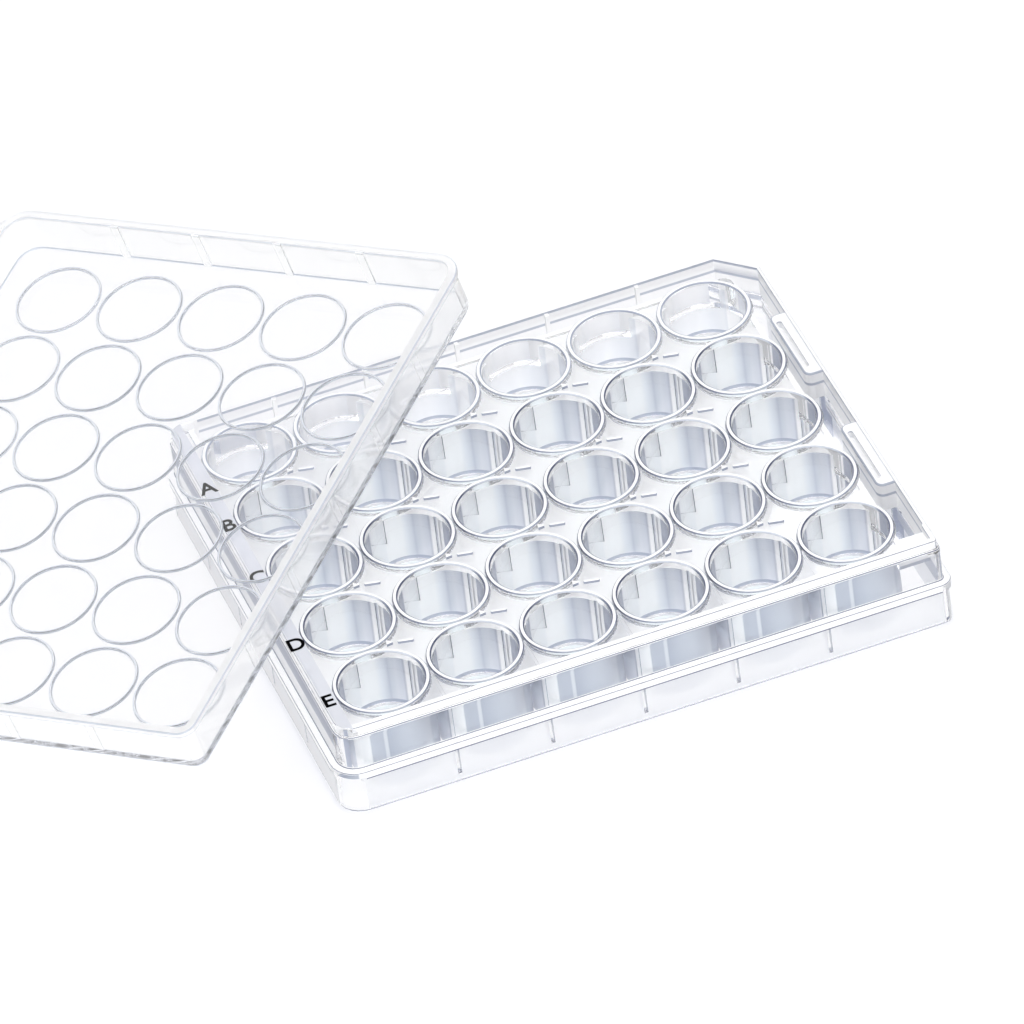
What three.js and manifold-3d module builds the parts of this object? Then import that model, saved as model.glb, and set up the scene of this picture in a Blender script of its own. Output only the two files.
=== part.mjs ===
// Multiwell culture plate with its lid taken off and leaned on it.
// Millimetres, +X along the columns, +Y from the front to the back, +Z up.
// The plate is one moulding: skirt, ledge, upper wall, deck, wells and the channel round two
// sides. The lid is a second moulding, a shallow tray that lies here with its open side up.

import * as THREE from 'three';
import { mergeVertices } from 'three/addons/utils/BufferGeometryUtils.js';
import Module from 'manifold-3d';

// ---------------------------------------------------------------- wells
const COLUMNS = 6;
const ROWS = 5;
const BORE_DIAMETER = 17.0;      // at the mouth
const BORE_DRAFT = 0.4;          // radius lost from mouth to floor
const WELL_WALL = 1.05;
const WELL_DEPTH = 12.6;
const WELL_FLOOR = 1.2;
const WELL_FILLET = 1.2;         // inside, where wall meets floor
const FOOT_RING = 4.2;           // how far a well's wall runs on below its floor
const RIM_GAP = 0.2;             // between the rims of two neighbours
const RIM_HEIGHT = 0.9;          // rim above the deck
const WELL_FACETS = 16;

// ---------------------------------------------------------------- plate body
const PLATE_HEIGHT = 20.0;
const LEDGE_HEIGHT = 10.2;       // top of the ledge that stops the lid
const LIP_HEIGHT = 2.2;          // thickness of the ledge's edge
const LIP_OVERHANG = 0.5;        // ledge past the skirt below it
const SKIRT_WALL = 1.3;
const UPPER_WALL = 1.2;
const BAND_HEIGHT = 2.0;         // inset band round the top of the upper wall
const BAND_INSET = 0.5;
const BORDER_WIDTH = 1.4;        // raised border round the deck
const LABEL_CLEARANCE = 0.3;     // raised strip for the row letters to the first column's rims
const DECK_THICKNESS = 1.2;
const EDGE_BREAK = 0.3;          // small bevels on outside edges
const SMALLEST_RADIUS = 0.2;     // of a corner that an offset has almost closed

const MARGIN_LEFT = 13.2;        // centre of the outer wells to the outside of the upper wall
const MARGIN_FRONT = 12.4;
const MARGIN_BACK = 14.3;
const LEFT_CORNER_RADIUS = 4.0;
const RIGHT_CORNER_RADIUS = 1.2; // front right
const KEY_CHAMFER = 7.5;         // back right, the corner that tells which way round it is

// ---------------------------------------------------------------- channel behind and right
const CHANNEL_DEPTH = 5.0;       // below the deck
const CHANNEL_SHELL = 1.1;
const DECK_REACH = 8.6;          // outer wells' centres to the deck's edge at the channel
const CHANNEL_START = 5.6;       // from the upper wall's left face
const CHANNEL_END = 6.0;         // from the upper wall's front face
const CHANNEL_CORNER = 2.0;
const PAD_LENGTH = 21.0;         // two pads that bridge the right channel
const PAD_WIDTH = 3.55;          // sets how far the right wall stands from the wells
const PAD_CLEARANCE = 0.8;       // pad to the nearest rims
const PAD_DROP = 0.3;            // pad below the border
const PAD_CORNER = 1.6;
const GROOVE_INSET = 1.3;        // pad's inner edge to the middle of its groove
const GROOVE_WIDTH = 1.1;
const GROOVE_LENGTH = 16.0;
const GROOVE_DEPTH = 1.6;

// ---------------------------------------------------------------- ribs
const RIB_THICKNESS = 0.8;
const RIB_REACH = 1.0;           // inward from the upper wall
const GUSSET_REACH = 2.6;        // inward from the skirt
const GUSSET_FOOT = 1.4;         // gusset's lower end above the table
const GUSSET_SHOULDER = 0.6;
const BAR_LENGTH = 4.8;          // short bars on the deck between four wells
const BAR_WIDTH = 0.9;
const BAR_HEIGHT = 0.6;
const BAR_OFFSET = 1.2;          // bar's right end from the middle of its space
const WEB_WIDTH = 0.6;           // webs from the front row's gaps to the border
const WEB_HEIGHT = 0.3;
const WEB_GAP = 1.0;             // web's back end from the narrowest place between the wells

// ---------------------------------------------------------------- lid
const LID_CLEARANCE = 0.5;       // round the upper wall
const LID_WALL = 1.0;
const LID_PANEL = 1.2;
const LID_SEAT_GAP = 0.6;        // rim above the ledge when closed
const LID_FLANGE = 0.7;
const LID_FLANGE_HEIGHT = 1.4;
const RING_HEIGHT = 0.5;
const RING_WIDTH = 0.7;
const RING_CLEARANCE = 0.3;      // rings above the rims when closed
const RING_INSET = 0.3;          // ring inside the rim's outer diameter, on the radius
const RING_FACETS = 16;
const LID_RIB_WIDTH = 1.8;
const LID_RIB_DEPTH = 0.35;
const LID_BEVEL = 0.6;           // round the panel's outer face

// joined pieces
const EMBED = 0.4;               // how far a piece runs into the one that carries it
const CUT_PAST = 1.0;            // how far a cut runs past the face that it opens

// where the lid leans
const REST_GAP = 0.3;
const LEAN_YAW = 223.3;          // degrees about the vertical
const LEAN_OUT = 16.3;           // lid's centre beyond the plate's left edge
const LEAN_BACK = 39.5;          // lid's centre behind the plate's

// ---------------------------------------------------------------- derived
const PITCH = BORE_DIAMETER + 2 * WELL_WALL + RIM_GAP;
const RIM_RADIUS = BORE_DIAMETER / 2 + WELL_WALL;
const BORE_RADIUS = BORE_DIAMETER / 2;
const RIM_TOP = PLATE_HEIGHT - RING_HEIGHT - RING_CLEARANCE;
const DECK_TOP = RIM_TOP - RIM_HEIGHT;
const DECK_UNDER = DECK_TOP - DECK_THICKNESS;
const WELL_FLOOR_TOP = RIM_TOP - WELL_DEPTH;
const WELL_BOTTOM = WELL_FLOOR_TOP - WELL_FLOOR;
const LEDGE_WIDTH = LID_CLEARANCE + LID_WALL;
const SKIRT_OFFSET = LEDGE_WIDTH - LIP_OVERHANG;
const LIP_UNDER = LEDGE_HEIGHT - LIP_HEIGHT;
const CHANNEL_FLOOR = DECK_TOP - CHANNEL_DEPTH;
const MARGIN_RIGHT = RIM_RADIUS + PAD_CLEARANCE + PAD_WIDTH + UPPER_WALL;
const HALF_X = (COLUMNS - 1) * PITCH / 2;
const HALF_Y = (ROWS - 1) * PITCH / 2;
const LEFT = -HALF_X - MARGIN_LEFT;
const RIGHT = HALF_X + MARGIN_RIGHT;
const FRONT = -HALF_Y - MARGIN_FRONT;
const BACK = HALF_Y + MARGIN_BACK;
const DECK_RIGHT = HALF_X + DECK_REACH;
const DECK_BACK = HALF_Y + DECK_REACH;
const LABEL_EDGE = -HALF_X - RIM_RADIUS - LABEL_CLEARANCE;
const INNER = -UPPER_WALL;       // offset of the upper wall's inside face
const LID_INSIDE = LID_CLEARANCE;
const LID_OUTSIDE = LEDGE_WIDTH;
const LID_HEIGHT = PLATE_HEIGHT - LEDGE_HEIGHT - LID_SEAT_GAP + LID_PANEL;

const wasm = await Module();
wasm.setup();

// ---------------------------------------------------------------- solids and booleans
function toSolid(geometry) {
  const bare = geometry.index ? geometry.toNonIndexed() : geometry.clone();
  for (const name of Object.keys(bare.attributes)) {
    if (name !== 'position') bare.deleteAttribute(name);
  }
  const merged = mergeVertices(bare, 1e-4);
  return new wasm.Manifold(new wasm.Mesh({
    numProp: 3,
    vertProperties: new Float32Array(merged.attributes.position.array),
    triVerts: new Uint32Array(merged.index.array),
  }));
}

function toGeometry(solid) {
  const mesh = solid.getMesh();
  const geometry = new THREE.BufferGeometry();
  geometry.setAttribute('position', new THREE.BufferAttribute(new Float32Array(mesh.vertProperties), 3));
  geometry.setIndex(new THREE.BufferAttribute(new Uint32Array(mesh.triVerts), 1));
  geometry.computeVertexNormals();
  return geometry;
}

const join = (solids) => solids.reduce((sum, next) => sum.add(next));

// ---------------------------------------------------------------- outlines
// The plate's outline moved outward by offset: two round corners on the left, a small one at
// the front right and the key chamfer at the back right. Every offset has as many points.
function outline(offset) {
  const points = [];
  const arc = (cx, cy, radius, from, steps) => {
    for (let i = 0; i <= steps; i += 1) {
      const angle = THREE.MathUtils.degToRad(from + 90 * i / steps);
      points.push(new THREE.Vector2(cx + radius * Math.cos(angle), cy + radius * Math.sin(angle)));
    }
  };
  const left = LEFT_CORNER_RADIUS;
  const right = RIGHT_CORNER_RADIUS;
  const leg = KEY_CHAMFER + offset * (2 - Math.SQRT2);
  const roundLeft = Math.max(left + offset, SMALLEST_RADIUS);
  const roundRight = Math.max(right + offset, SMALLEST_RADIUS);
  arc(LEFT - offset + roundLeft, FRONT - offset + roundLeft, roundLeft, 180, 4);
  arc(RIGHT + offset - roundRight, FRONT - offset + roundRight, roundRight, 270, 2);
  points.push(new THREE.Vector2(RIGHT + offset, BACK + offset - leg));
  points.push(new THREE.Vector2(RIGHT + offset - leg, BACK + offset));
  arc(LEFT - offset + roundLeft, BACK + offset - roundLeft, roundLeft, 90, 4);
  return points;
}

// A closed solid through the outline at each [offset, z] of a profile, from the bottom up.
function loft(profile) {
  const rings = profile.map(([offset, z]) => outline(offset).map((p) => [p.x, p.y, z]));
  const count = rings[0].length;
  const positions = rings.flat(2);
  const index = [];
  for (let r = 0; r < rings.length - 1; r += 1) {
    for (let i = 0; i < count; i += 1) {
      const a = r * count + i;
      const b = r * count + (i + 1) % count;
      index.push(a, b, b + count, a, b + count, a + count);
    }
  }
  const cap = (ring, up) => {
    const flat = rings[ring].map(([x, y]) => new THREE.Vector2(x, y));
    for (const [i, j, k] of THREE.ShapeUtils.triangulateShape(flat, [])) {
      const [a, b, c] = [i, j, k].map((n) => n + ring * count);
      index.push(...(up ? [a, b, c] : [a, c, b]));
    }
  };
  cap(0, false);
  cap(rings.length - 1, true);
  const geometry = new THREE.BufferGeometry();
  geometry.setAttribute('position', new THREE.Float32BufferAttribute(positions, 3));
  geometry.setIndex(index);
  return toSolid(geometry);
}

// A prism of a shape drawn in plan, between two heights.
function prism(shape, bottom, top, curveSegments = 4) {
  const depth = top - bottom;
  const geometry = new THREE.ExtrudeGeometry(shape, { depth, bevelEnabled: false, curveSegments });
  geometry.translate(0, 0, bottom);
  return toSolid(geometry);
}

function block(x0, x1, y0, y1, z0, z1) {
  const geometry = new THREE.BoxGeometry(x1 - x0, y1 - y0, z1 - z0);
  geometry.translate((x0 + x1) / 2, (y0 + y1) / 2, (z0 + z1) / 2);
  return toSolid(geometry);
}

// A shape turned about the vertical: a profile of [radius, z] that starts and ends on the axis,
// or closes on itself.
function turned(profile, facets) {
  const geometry = new THREE.LatheGeometry(profile.map(([r, z]) => new THREE.Vector2(r, z)), facets);
  geometry.rotateX(Math.PI / 2);
  return toSolid(geometry);
}

// The quarter circle of a fillet, as [radius, z] pairs from the floor up to the wall.
function fillet(wallRadius, floorZ, radius, steps) {
  const pairs = [];
  for (let i = 0; i <= steps; i += 1) {
    const angle = (Math.PI / 2) * i / steps;
    pairs.push([wallRadius - radius + radius * Math.sin(angle), floorZ + radius - radius * Math.cos(angle)]);
  }
  return pairs;
}

const columnX = (column) => -HALF_X + column * PITCH;
const rowY = (row) => HALF_Y - row * PITCH;
const gridPlaces = [];
for (let row = 0; row < ROWS; row += 1) {
  for (let column = 0; column < COLUMNS; column += 1) gridPlaces.push([columnX(column), rowY(row)]);
}
const columnGaps = Array.from({ length: COLUMNS - 1 }, (_, i) => columnX(i) + PITCH / 2);
const rowGaps = Array.from({ length: ROWS - 1 }, (_, i) => rowY(i) - PITCH / 2);

// ---------------------------------------------------------------- plate: walls and deck
function shell() {
  const bandTop = PLATE_HEIGHT - EDGE_BREAK;
  const bandFoot = PLATE_HEIGHT - BAND_HEIGHT;
  const outside = loft([
    [SKIRT_OFFSET, 0],
    [SKIRT_OFFSET, LIP_UNDER],
    [LEDGE_WIDTH, LIP_UNDER + EDGE_BREAK],
    [LEDGE_WIDTH, LEDGE_HEIGHT - EDGE_BREAK],
    [LEDGE_WIDTH - EDGE_BREAK, LEDGE_HEIGHT],
    [0, LEDGE_HEIGHT],
    [0, bandFoot],
    [-BAND_INSET, bandFoot + EDGE_BREAK],
    [-BAND_INSET, bandTop],
    [-BAND_INSET - EDGE_BREAK, PLATE_HEIGHT],
  ]);
  const underside = loft([
    [SKIRT_OFFSET - SKIRT_WALL, -CUT_PAST],
    [SKIRT_OFFSET - SKIRT_WALL, LIP_UNDER],
    [INNER, LIP_UNDER + SKIRT_OFFSET - SKIRT_WALL - INNER],
    [INNER, DECK_UNDER],
  ]);
  const recess = loft([
    [-BAND_INSET - BORDER_WIDTH, DECK_TOP],
    [-BAND_INSET - BORDER_WIDTH + EDGE_BREAK, PLATE_HEIGHT + CUT_PAST],
  ]);
  const strip = block(
    LEFT, LABEL_EDGE,
    FRONT, BACK,
    DECK_TOP - CUT_PAST, PLATE_HEIGHT + 2 * CUT_PAST,
  );
  return outside.subtract(underside).subtract(recess.subtract(strip));
}

// The channel's plan, grown by the given amount: along the back and down the right side.
function channelPlan(grow) {
  const x0 = LEFT + CHANNEL_START - grow;
  const y0 = FRONT + CHANNEL_END - grow;
  const x1 = RIGHT + INNER + Math.min(grow, EMBED);
  const y1 = BACK + INNER + Math.min(grow, EMBED);
  const xDeck = DECK_RIGHT - grow;
  const yDeck = DECK_BACK - grow;
  const leg = KEY_CHAMFER + INNER * (2 - Math.SQRT2);
  const corner = Math.min(CHANNEL_CORNER, (x1 - xDeck) / 2);
  const shape = new THREE.Shape();
  shape.moveTo(x0, yDeck);
  shape.lineTo(xDeck - corner, yDeck);
  shape.lineTo(xDeck, yDeck - corner);
  shape.lineTo(xDeck, y0 + corner);
  shape.quadraticCurveTo(xDeck, y0, xDeck + corner, y0);
  shape.lineTo(x1, y0);
  shape.lineTo(x1, y1 - leg);
  shape.lineTo(x1 - leg, y1);
  shape.lineTo(x0, y1);
  shape.closePath();
  return shape;
}

function pads() {
  const inner = HALF_X + RIM_RADIUS + PAD_CLEARANCE;
  const outer = RIGHT + INNER + EMBED;
  const grooveX = inner + GROOVE_INSET;
  const corner = Math.min(PAD_CORNER, PAD_WIDTH / 2);
  return [1, ROWS - 2].map((row) => {
    const shape = new THREE.Shape();
    const y0 = rowY(row) - PAD_LENGTH / 2;
    const y1 = rowY(row) + PAD_LENGTH / 2;
    shape.moveTo(outer, y0);
    shape.lineTo(outer, y1);
    shape.lineTo(inner + corner, y1);
    shape.quadraticCurveTo(inner, y1, inner, y1 - corner);
    shape.lineTo(inner, y0 + corner);
    shape.quadraticCurveTo(inner, y0, inner + corner, y0);
    shape.closePath();
    const top = PLATE_HEIGHT - PAD_DROP;
    const body = prism(shape, CHANNEL_FLOOR - CHANNEL_SHELL / 2, top);
    const groove = block(
      grooveX - GROOVE_WIDTH / 2, grooveX + GROOVE_WIDTH / 2,
      rowY(row) - GROOVE_LENGTH / 2, rowY(row) + GROOVE_LENGTH / 2,
      top - GROOVE_DEPTH, top + CUT_PAST,
    );
    return body.subtract(groove);
  });
}

// ---------------------------------------------------------------- plate: ribs
// One rib drawn against a wall at x = 0 that faces +x, from the deck to the skirt, where it
// widens into a curved gusset.
function ribPlan() {
  const skirtFace = -(SKIRT_OFFSET - SKIRT_WALL);
  const wallFace = -INNER;
  const shape = new THREE.Shape();
  shape.moveTo(wallFace - EMBED, DECK_UNDER + EMBED);
  shape.lineTo(wallFace + RIB_REACH, DECK_UNDER + EMBED);
  shape.lineTo(wallFace + RIB_REACH, LEDGE_HEIGHT);
  const shoulder = LIP_UNDER - GUSSET_SHOULDER;
  shape.quadraticCurveTo(wallFace + RIB_REACH, LIP_UNDER, skirtFace + GUSSET_REACH, shoulder);
  shape.quadraticCurveTo(skirtFace + GUSSET_REACH / 3, shoulder / 2, skirtFace + EDGE_BREAK, GUSSET_FOOT);
  shape.lineTo(skirtFace - EMBED, GUSSET_FOOT);
  shape.lineTo(skirtFace - EMBED, LIP_UNDER);
  shape.lineTo(wallFace - EMBED, LEDGE_HEIGHT - GUSSET_SHOULDER);
  shape.closePath();
  return shape;
}

function rib(x, y, facing) {
  const depth = RIB_THICKNESS;
  const geometry = new THREE.ExtrudeGeometry(ribPlan(), { depth, bevelEnabled: false, curveSegments: 3 });
  geometry.translate(0, 0, -depth / 2);
  geometry.rotateX(Math.PI / 2);
  geometry.rotateZ(THREE.MathUtils.degToRad(facing));
  geometry.translate(x, y, 0);
  return toSolid(geometry);
}

function wallRibs() {
  const list = [];
  for (const x of columnGaps) {
    list.push(rib(x, FRONT, 90));
    list.push(rib(x, BACK, -90));
  }
  for (const y of rowGaps) {
    list.push(rib(LEFT, y, 0));
    list.push(rib(RIGHT, y, 180));
  }
  return list;
}

// Low ribs in the channel, up its outer wall behind each gap between columns.
function channelRibs() {
  const face = BACK + INNER;
  const half = RIB_THICKNESS / 2;
  return columnGaps.map((x) => block(
    x - half, x + half,
    face - RIB_REACH, face + EMBED,
    CHANNEL_FLOOR - CHANNEL_SHELL / 2, PLATE_HEIGHT - EDGE_BREAK,
  ));
}

// Raised lines on the deck: a short bar in each space between four wells, and a web from each
// gap in the front row to the border.
function deckBars() {
  const list = [];
  const base = DECK_TOP - EMBED;
  const barHalf = BAR_WIDTH / 2;
  const webHalf = WEB_WIDTH / 2;
  const webBack = rowY(ROWS - 1) - WEB_GAP;
  for (const x of columnGaps) {
    const end = x - BAR_OFFSET;
    for (const y of rowGaps) {
      list.push(block(end - BAR_LENGTH, end, y - barHalf, y + barHalf, base, DECK_TOP + BAR_HEIGHT));
    }
    list.push(block(x - webHalf, x + webHalf, FRONT + BORDER_WIDTH, webBack, base, DECK_TOP + WEB_HEIGHT));
  }
  return list;
}

// ---------------------------------------------------------------- plate: wells
function wellOutside() {
  const foot = WELL_BOTTOM - FOOT_RING;
  return turned([[0, foot], [RIM_RADIUS, foot], [RIM_RADIUS, RIM_TOP], [0, RIM_TOP]], WELL_FACETS);
}

// The hollow under a well's floor, inside its foot ring.
function wellUnder() {
  const low = WELL_BOTTOM - FOOT_RING - CUT_PAST;
  const radius = BORE_RADIUS - BORE_DRAFT;
  return turned([[0, low], [radius, low], [radius, WELL_BOTTOM], [0, WELL_BOTTOM]], WELL_FACETS);
}

function wellInside() {
  const foot = BORE_RADIUS - BORE_DRAFT;
  const profile = [
    [0, WELL_FLOOR_TOP],
    ...fillet(foot, WELL_FLOOR_TOP, WELL_FILLET, 1),
    [BORE_RADIUS, RIM_TOP],
    [BORE_RADIUS, RIM_TOP + CUT_PAST],
    [0, RIM_TOP + CUT_PAST],
  ];
  return turned(profile, WELL_FACETS);
}

function plate() {
  const tray = prism(channelPlan(CHANNEL_SHELL), CHANNEL_FLOOR - CHANNEL_SHELL, DECK_TOP);
  const channel = prism(channelPlan(0), CHANNEL_FLOOR, PLATE_HEIGHT + CUT_PAST);
  const outside = wellOutside();
  const inside = wellInside();
  const under = wellUnder();
  let body = shell().add(tray).subtract(channel);
  body = join([body, ...pads(), ...channelRibs(), ...wallRibs(), ...deckBars()]);
  body = join([body, ...gridPlaces.map(([x, y]) => outside.translate([x, y, 0]))]);
  for (const [x, y] of gridPlaces) {
    body = body.subtract(inside.translate([x, y, 0])).subtract(under.translate([x, y, 0]));
  }
  return body;
}

// ---------------------------------------------------------------- lid
// Drawn closed: its panel's outer face at z = 0 and its rim below.
function lidRing() {
  const outer = RIM_RADIUS - RING_INSET;
  const profile = [
    [outer - RING_WIDTH, -LID_PANEL + EMBED],
    [outer - RING_WIDTH / 2, -LID_PANEL - RING_HEIGHT],
    [outer, -LID_PANEL + EMBED],
    [outer - RING_WIDTH, -LID_PANEL + EMBED],
  ];
  return turned(profile, RING_FACETS);
}

function lidRibs() {
  const half = LID_RIB_WIDTH / 2;
  const low = -LID_HEIGHT + EDGE_BREAK;
  const high = -LID_PANEL + EMBED;
  const list = [];
  for (const x of columnGaps) {
    for (const [face, out] of [[BACK + LID_INSIDE, 1], [FRONT - LID_INSIDE, -1]]) {
      const ends = [face - out * LID_RIB_DEPTH, face + out * EMBED].sort((a, b) => a - b);
      list.push(block(x - half, x + half, ...ends, low, high));
    }
  }
  for (const y of rowGaps) {
    for (const [face, out] of [[RIGHT + LID_INSIDE, 1], [LEFT - LID_INSIDE, -1]]) {
      const ends = [face - out * LID_RIB_DEPTH, face + out * EMBED].sort((a, b) => a - b);
      list.push(block(...ends, y - half, y + half, low, high));
    }
  }
  return list;
}

function lid() {
  const rim = -LID_HEIGHT;
  const outside = loft([
    [LID_OUTSIDE + LID_FLANGE - EDGE_BREAK, rim],
    [LID_OUTSIDE + LID_FLANGE, rim + EDGE_BREAK],
    [LID_OUTSIDE + LID_FLANGE, rim + LID_FLANGE_HEIGHT - EDGE_BREAK],
    [LID_OUTSIDE, rim + LID_FLANGE_HEIGHT],
    [LID_OUTSIDE, -LID_BEVEL],
    [LID_OUTSIDE - LID_BEVEL, 0],
  ]);
  const inside = loft([
    [LID_INSIDE, rim - CUT_PAST],
    [LID_INSIDE, -LID_PANEL],
  ]);
  const ring = lidRing();
  const rings = gridPlaces.map(([x, y]) => ring.translate([x, y, 0]));
  return join([outside.subtract(inside), ...lidRibs(), ...rings]);
}

// The lid lies with its open side up. It is turned in plan, and tips about the plate's left top
// edge until its lowest corner meets the table.
function leanLid(mesh) {
  const centre = new THREE.Vector2((LEFT + RIGHT) / 2, (FRONT + BACK) / 2);
  const yaw = THREE.MathUtils.degToRad(LEAN_YAW);
  const flipped = new THREE.Group();
  flipped.rotation.x = Math.PI;
  mesh.position.set(-centre.x, -centre.y, 0);
  flipped.add(mesh);
  const turnedInPlan = new THREE.Group();
  turnedInPlan.rotation.z = yaw;
  turnedInPlan.position.set(-LEAN_OUT, centre.y + LEAN_BACK, 0);
  turnedInPlan.add(flipped);
  const reach = outline(LID_OUTSIDE - LID_BEVEL).map((p) => {
    const x = p.x - centre.x;
    const y = centre.y - p.y;
    return LEAN_OUT - (x * Math.cos(yaw) - y * Math.sin(yaw));
  });
  const lean = Math.asin(Math.min(PLATE_HEIGHT / Math.max(...reach), 0.9));
  const tipped = new THREE.Group();
  tipped.rotation.y = -lean;
  tipped.position.set(LEFT + BAND_INSET, 0, PLATE_HEIGHT + REST_GAP);
  tipped.add(turnedInPlan);
  return tipped;
}

// ---------------------------------------------------------------- the object
const polystyrene = new THREE.MeshStandardMaterial({
  color: 0xe6ecf2,
  roughness: 0.06,
  metalness: 0,
  transparent: true,
  opacity: 0.4,
});
const lidPolystyrene = polystyrene.clone();
lidPolystyrene.opacity = 0.25;

const plateMesh = new THREE.Mesh(toGeometry(plate()), polystyrene);
plateMesh.name = 'plate';
const lidMesh = new THREE.Mesh(toGeometry(lid()), lidPolystyrene);
lidMesh.name = 'lid';

const object = new THREE.Group();
object.name = 'well_plate';
object.add(plateMesh, leanLid(lidMesh));
object.updateMatrixWorld(true);

// The origin is under the middle of the whole object, on the table.
const box = new THREE.Box3().setFromObject(object, true);
object.position.set(-(box.min.x + box.max.x) / 2, -(box.min.y + box.max.y) / 2, -box.min.z);
object.updateMatrixWorld(true);

export default object;
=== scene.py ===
"""Multiwell culture plate with its lid off: the finished mouldings, the row letters and the stage.

The plate and the lid are clear polystyrene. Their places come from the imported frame.
"""

import math

import bmesh
import bpy
from mathutils import Matrix, Vector


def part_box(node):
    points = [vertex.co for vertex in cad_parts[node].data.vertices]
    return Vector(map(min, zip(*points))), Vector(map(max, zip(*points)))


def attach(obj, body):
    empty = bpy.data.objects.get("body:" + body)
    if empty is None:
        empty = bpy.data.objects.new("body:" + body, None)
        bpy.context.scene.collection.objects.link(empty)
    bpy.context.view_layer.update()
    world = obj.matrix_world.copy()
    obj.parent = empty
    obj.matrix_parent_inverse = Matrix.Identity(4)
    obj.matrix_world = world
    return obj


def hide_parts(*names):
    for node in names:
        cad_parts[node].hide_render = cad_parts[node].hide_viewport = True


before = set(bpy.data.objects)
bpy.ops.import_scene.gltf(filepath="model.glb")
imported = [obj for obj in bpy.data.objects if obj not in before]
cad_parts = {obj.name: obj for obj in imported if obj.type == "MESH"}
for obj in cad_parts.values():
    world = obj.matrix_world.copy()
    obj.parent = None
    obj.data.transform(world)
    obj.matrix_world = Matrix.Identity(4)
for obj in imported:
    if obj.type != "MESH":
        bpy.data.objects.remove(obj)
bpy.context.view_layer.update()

bl_info = {
    "name": "Multiwell culture plate",
    "version": (1, 0, 0),
    "blender": (4, 5, 0),
    "location": "View3D > Sidebar > Well plate",
    "description": "Moulds a clear multiwell plate, its lid and its row letters",
    "category": "Object",
}

MM = 0.001
JOIN = 0.4 * MM       # how far a joined form runs into the one that carries it
PAST = 1.0 * MM       # how far a cutting form runs past the face that it opens
SINK = 0.02 * MM      # how far a fillet's foot is sunk in the face that it meets
WELD = 1e-7           # points this near to one another are one point
FOUND = 1e-6          # how far a form's point may lie from the place that it is picked by
NEAR = 0.03 * MM      # how far a moulding's face may lie from the place that it is looked for at
RIM_MARGIN = 0.6 * MM # how far past its rim a well's own faces reach
SMOOTH_ANGLE = math.radians(28)
KEY_GROWTH = 2 - math.sqrt(2)         # how much a 45 degree corner's legs grow with its outline
CORNER_STEPS = 6                      # facets round a corner of the plate
WELL_STEPS = 64                       # facets round a well
RING_STEPS = 96                       # facets round a ring of the lid

# Small forms' sizes.
LEAST_ROUND = 0.2 * MM                # radius that an outline's corner keeps when it shrinks
CHANNEL_ROUND = 1.2 * MM              # corner of the channel behind the wells
CHANNEL_END_ROUND = 0.6 * MM          # corners of the channel's front end
LAND_BACK = 1.0 * MM                  # how far a land runs back into the wall that carries it
WEDGE_POINT = 0.25                    # share of a wedge's width that is left at its point
NEARLY_ROUND = 0.95                   # share of its half width that rounds a groove's end
BAR_ROUND = 0.9                       # the same for a bar's end

# Turns about a well's own axis are clockwise from the back, a bar's turn on the deck anticlockwise.
LAND_LEFT = math.radians(-38)
LAND_RIGHT = math.radians(-14)
FLUTE_TURN = math.radians(57)
BAR_TURN = math.radians(-14)

# A level face's normal has an upward part above LEVEL, an upright face's has one below UPRIGHT.
# A rounded edge's lower facets lie between ROUND_SIDE and ROUND_TOP, its upper ones above that.
# Tops and sides are parted at HALF_UP.
LEVEL = 0.98
UPRIGHT = 0.1
ROUND_SIDE = 0.3
ROUND_TOP = 0.75
HALF_UP = 0.5

# A face looks along an axis where its normal's part on that axis is above FACING, away from a
# well's axis where it is above OUTWARD, and round the well where it is above ROUNDWARD.
FACING = 0.9
OUTWARD = 0.3
ROUNDWARD = 0.8
CORNER_FACET = (0.5, 0.7)             # sideward part of the one drawn facet of a front corner
RING_SIDE = 0.7                       # upward part below which a facet is on a ring's side
RING_SHARE = 0.9                      # share of a ring's height that its sides take up

# A flat looks along an axis, or is upright and looks between two axes, within these.
FLAT_SQUARE = 0.99999
FLAT_UPRIGHT = 1e-4
FLAT_DIAGONAL = 1e-3

# How strongly the plastic bends light, and what it lets through to its shadow.
IOR = 1.57
SHADOW = (0.975, 0.975, 0.979, 1)

# Finishes of the channel's wall, the lid's wall and the print.
CHANNEL_CLEAR = 0.75
LID_WALL_ROUGHNESS = 0.08
LID_WALL_CLEAR = 0.78
INK_ROUGHNESS = 0.8

# How far each row's letter lies in front of the row's middle, from the back row on.
LETTER_DROPS = [drop * MM for drop in (8.3, 1.7, 0.1, 2.7, 2.2)]
LETTER_SIZE = 5.0 * MM
LETTER_BOLD = 0.1 * MM                # how far the strokes are thickened
INK_HALF = 0.02 * MM                  # half of the ink's thickness
INK_LIFT = 0.04 * MM                  # the ink's middle above the strip

# The stage, in metres. Lamps are (name, place, size, watts) and look at the middle of the table.
TABLE_SIZE = 12
TABLE_DROP = 0.0005
STUDIO_STRENGTH = 0.80
LAMPS = (
    ("key", (0.35, 0.35, 0.75), 0.5, 1.6),
    ("fill", (-0.2, -0.85, 0.75), 0.9, 6.0),
)

# Light crosses many walls of clear plastic before it comes out again.
LIGHT_PATHS = {
    "max_bounces": 32,
    "transmission_bounces": 32,
    "glossy_bounces": 24,
    "transparent_max_bounces": 48,
    "sample_clamp_indirect": 4,
}

# The camera looks at a point beside the plate's middle. Its distances are in well pitches.
CAMERA_TURN = math.radians(-15.13)
CAMERA_RISE = math.radians(39.409)
CAMERA_ROLL = math.radians(8.0)
CAMERA_DISTANCE = 114.291
CAMERA_ACROSS = 0.338022
CAMERA_DROP = -0.209128
CAMERA_LENS = 11249.35 * 36 / 1024    # millimetres, on a film 36 mm wide
CAMERA_REACH = 50

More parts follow.
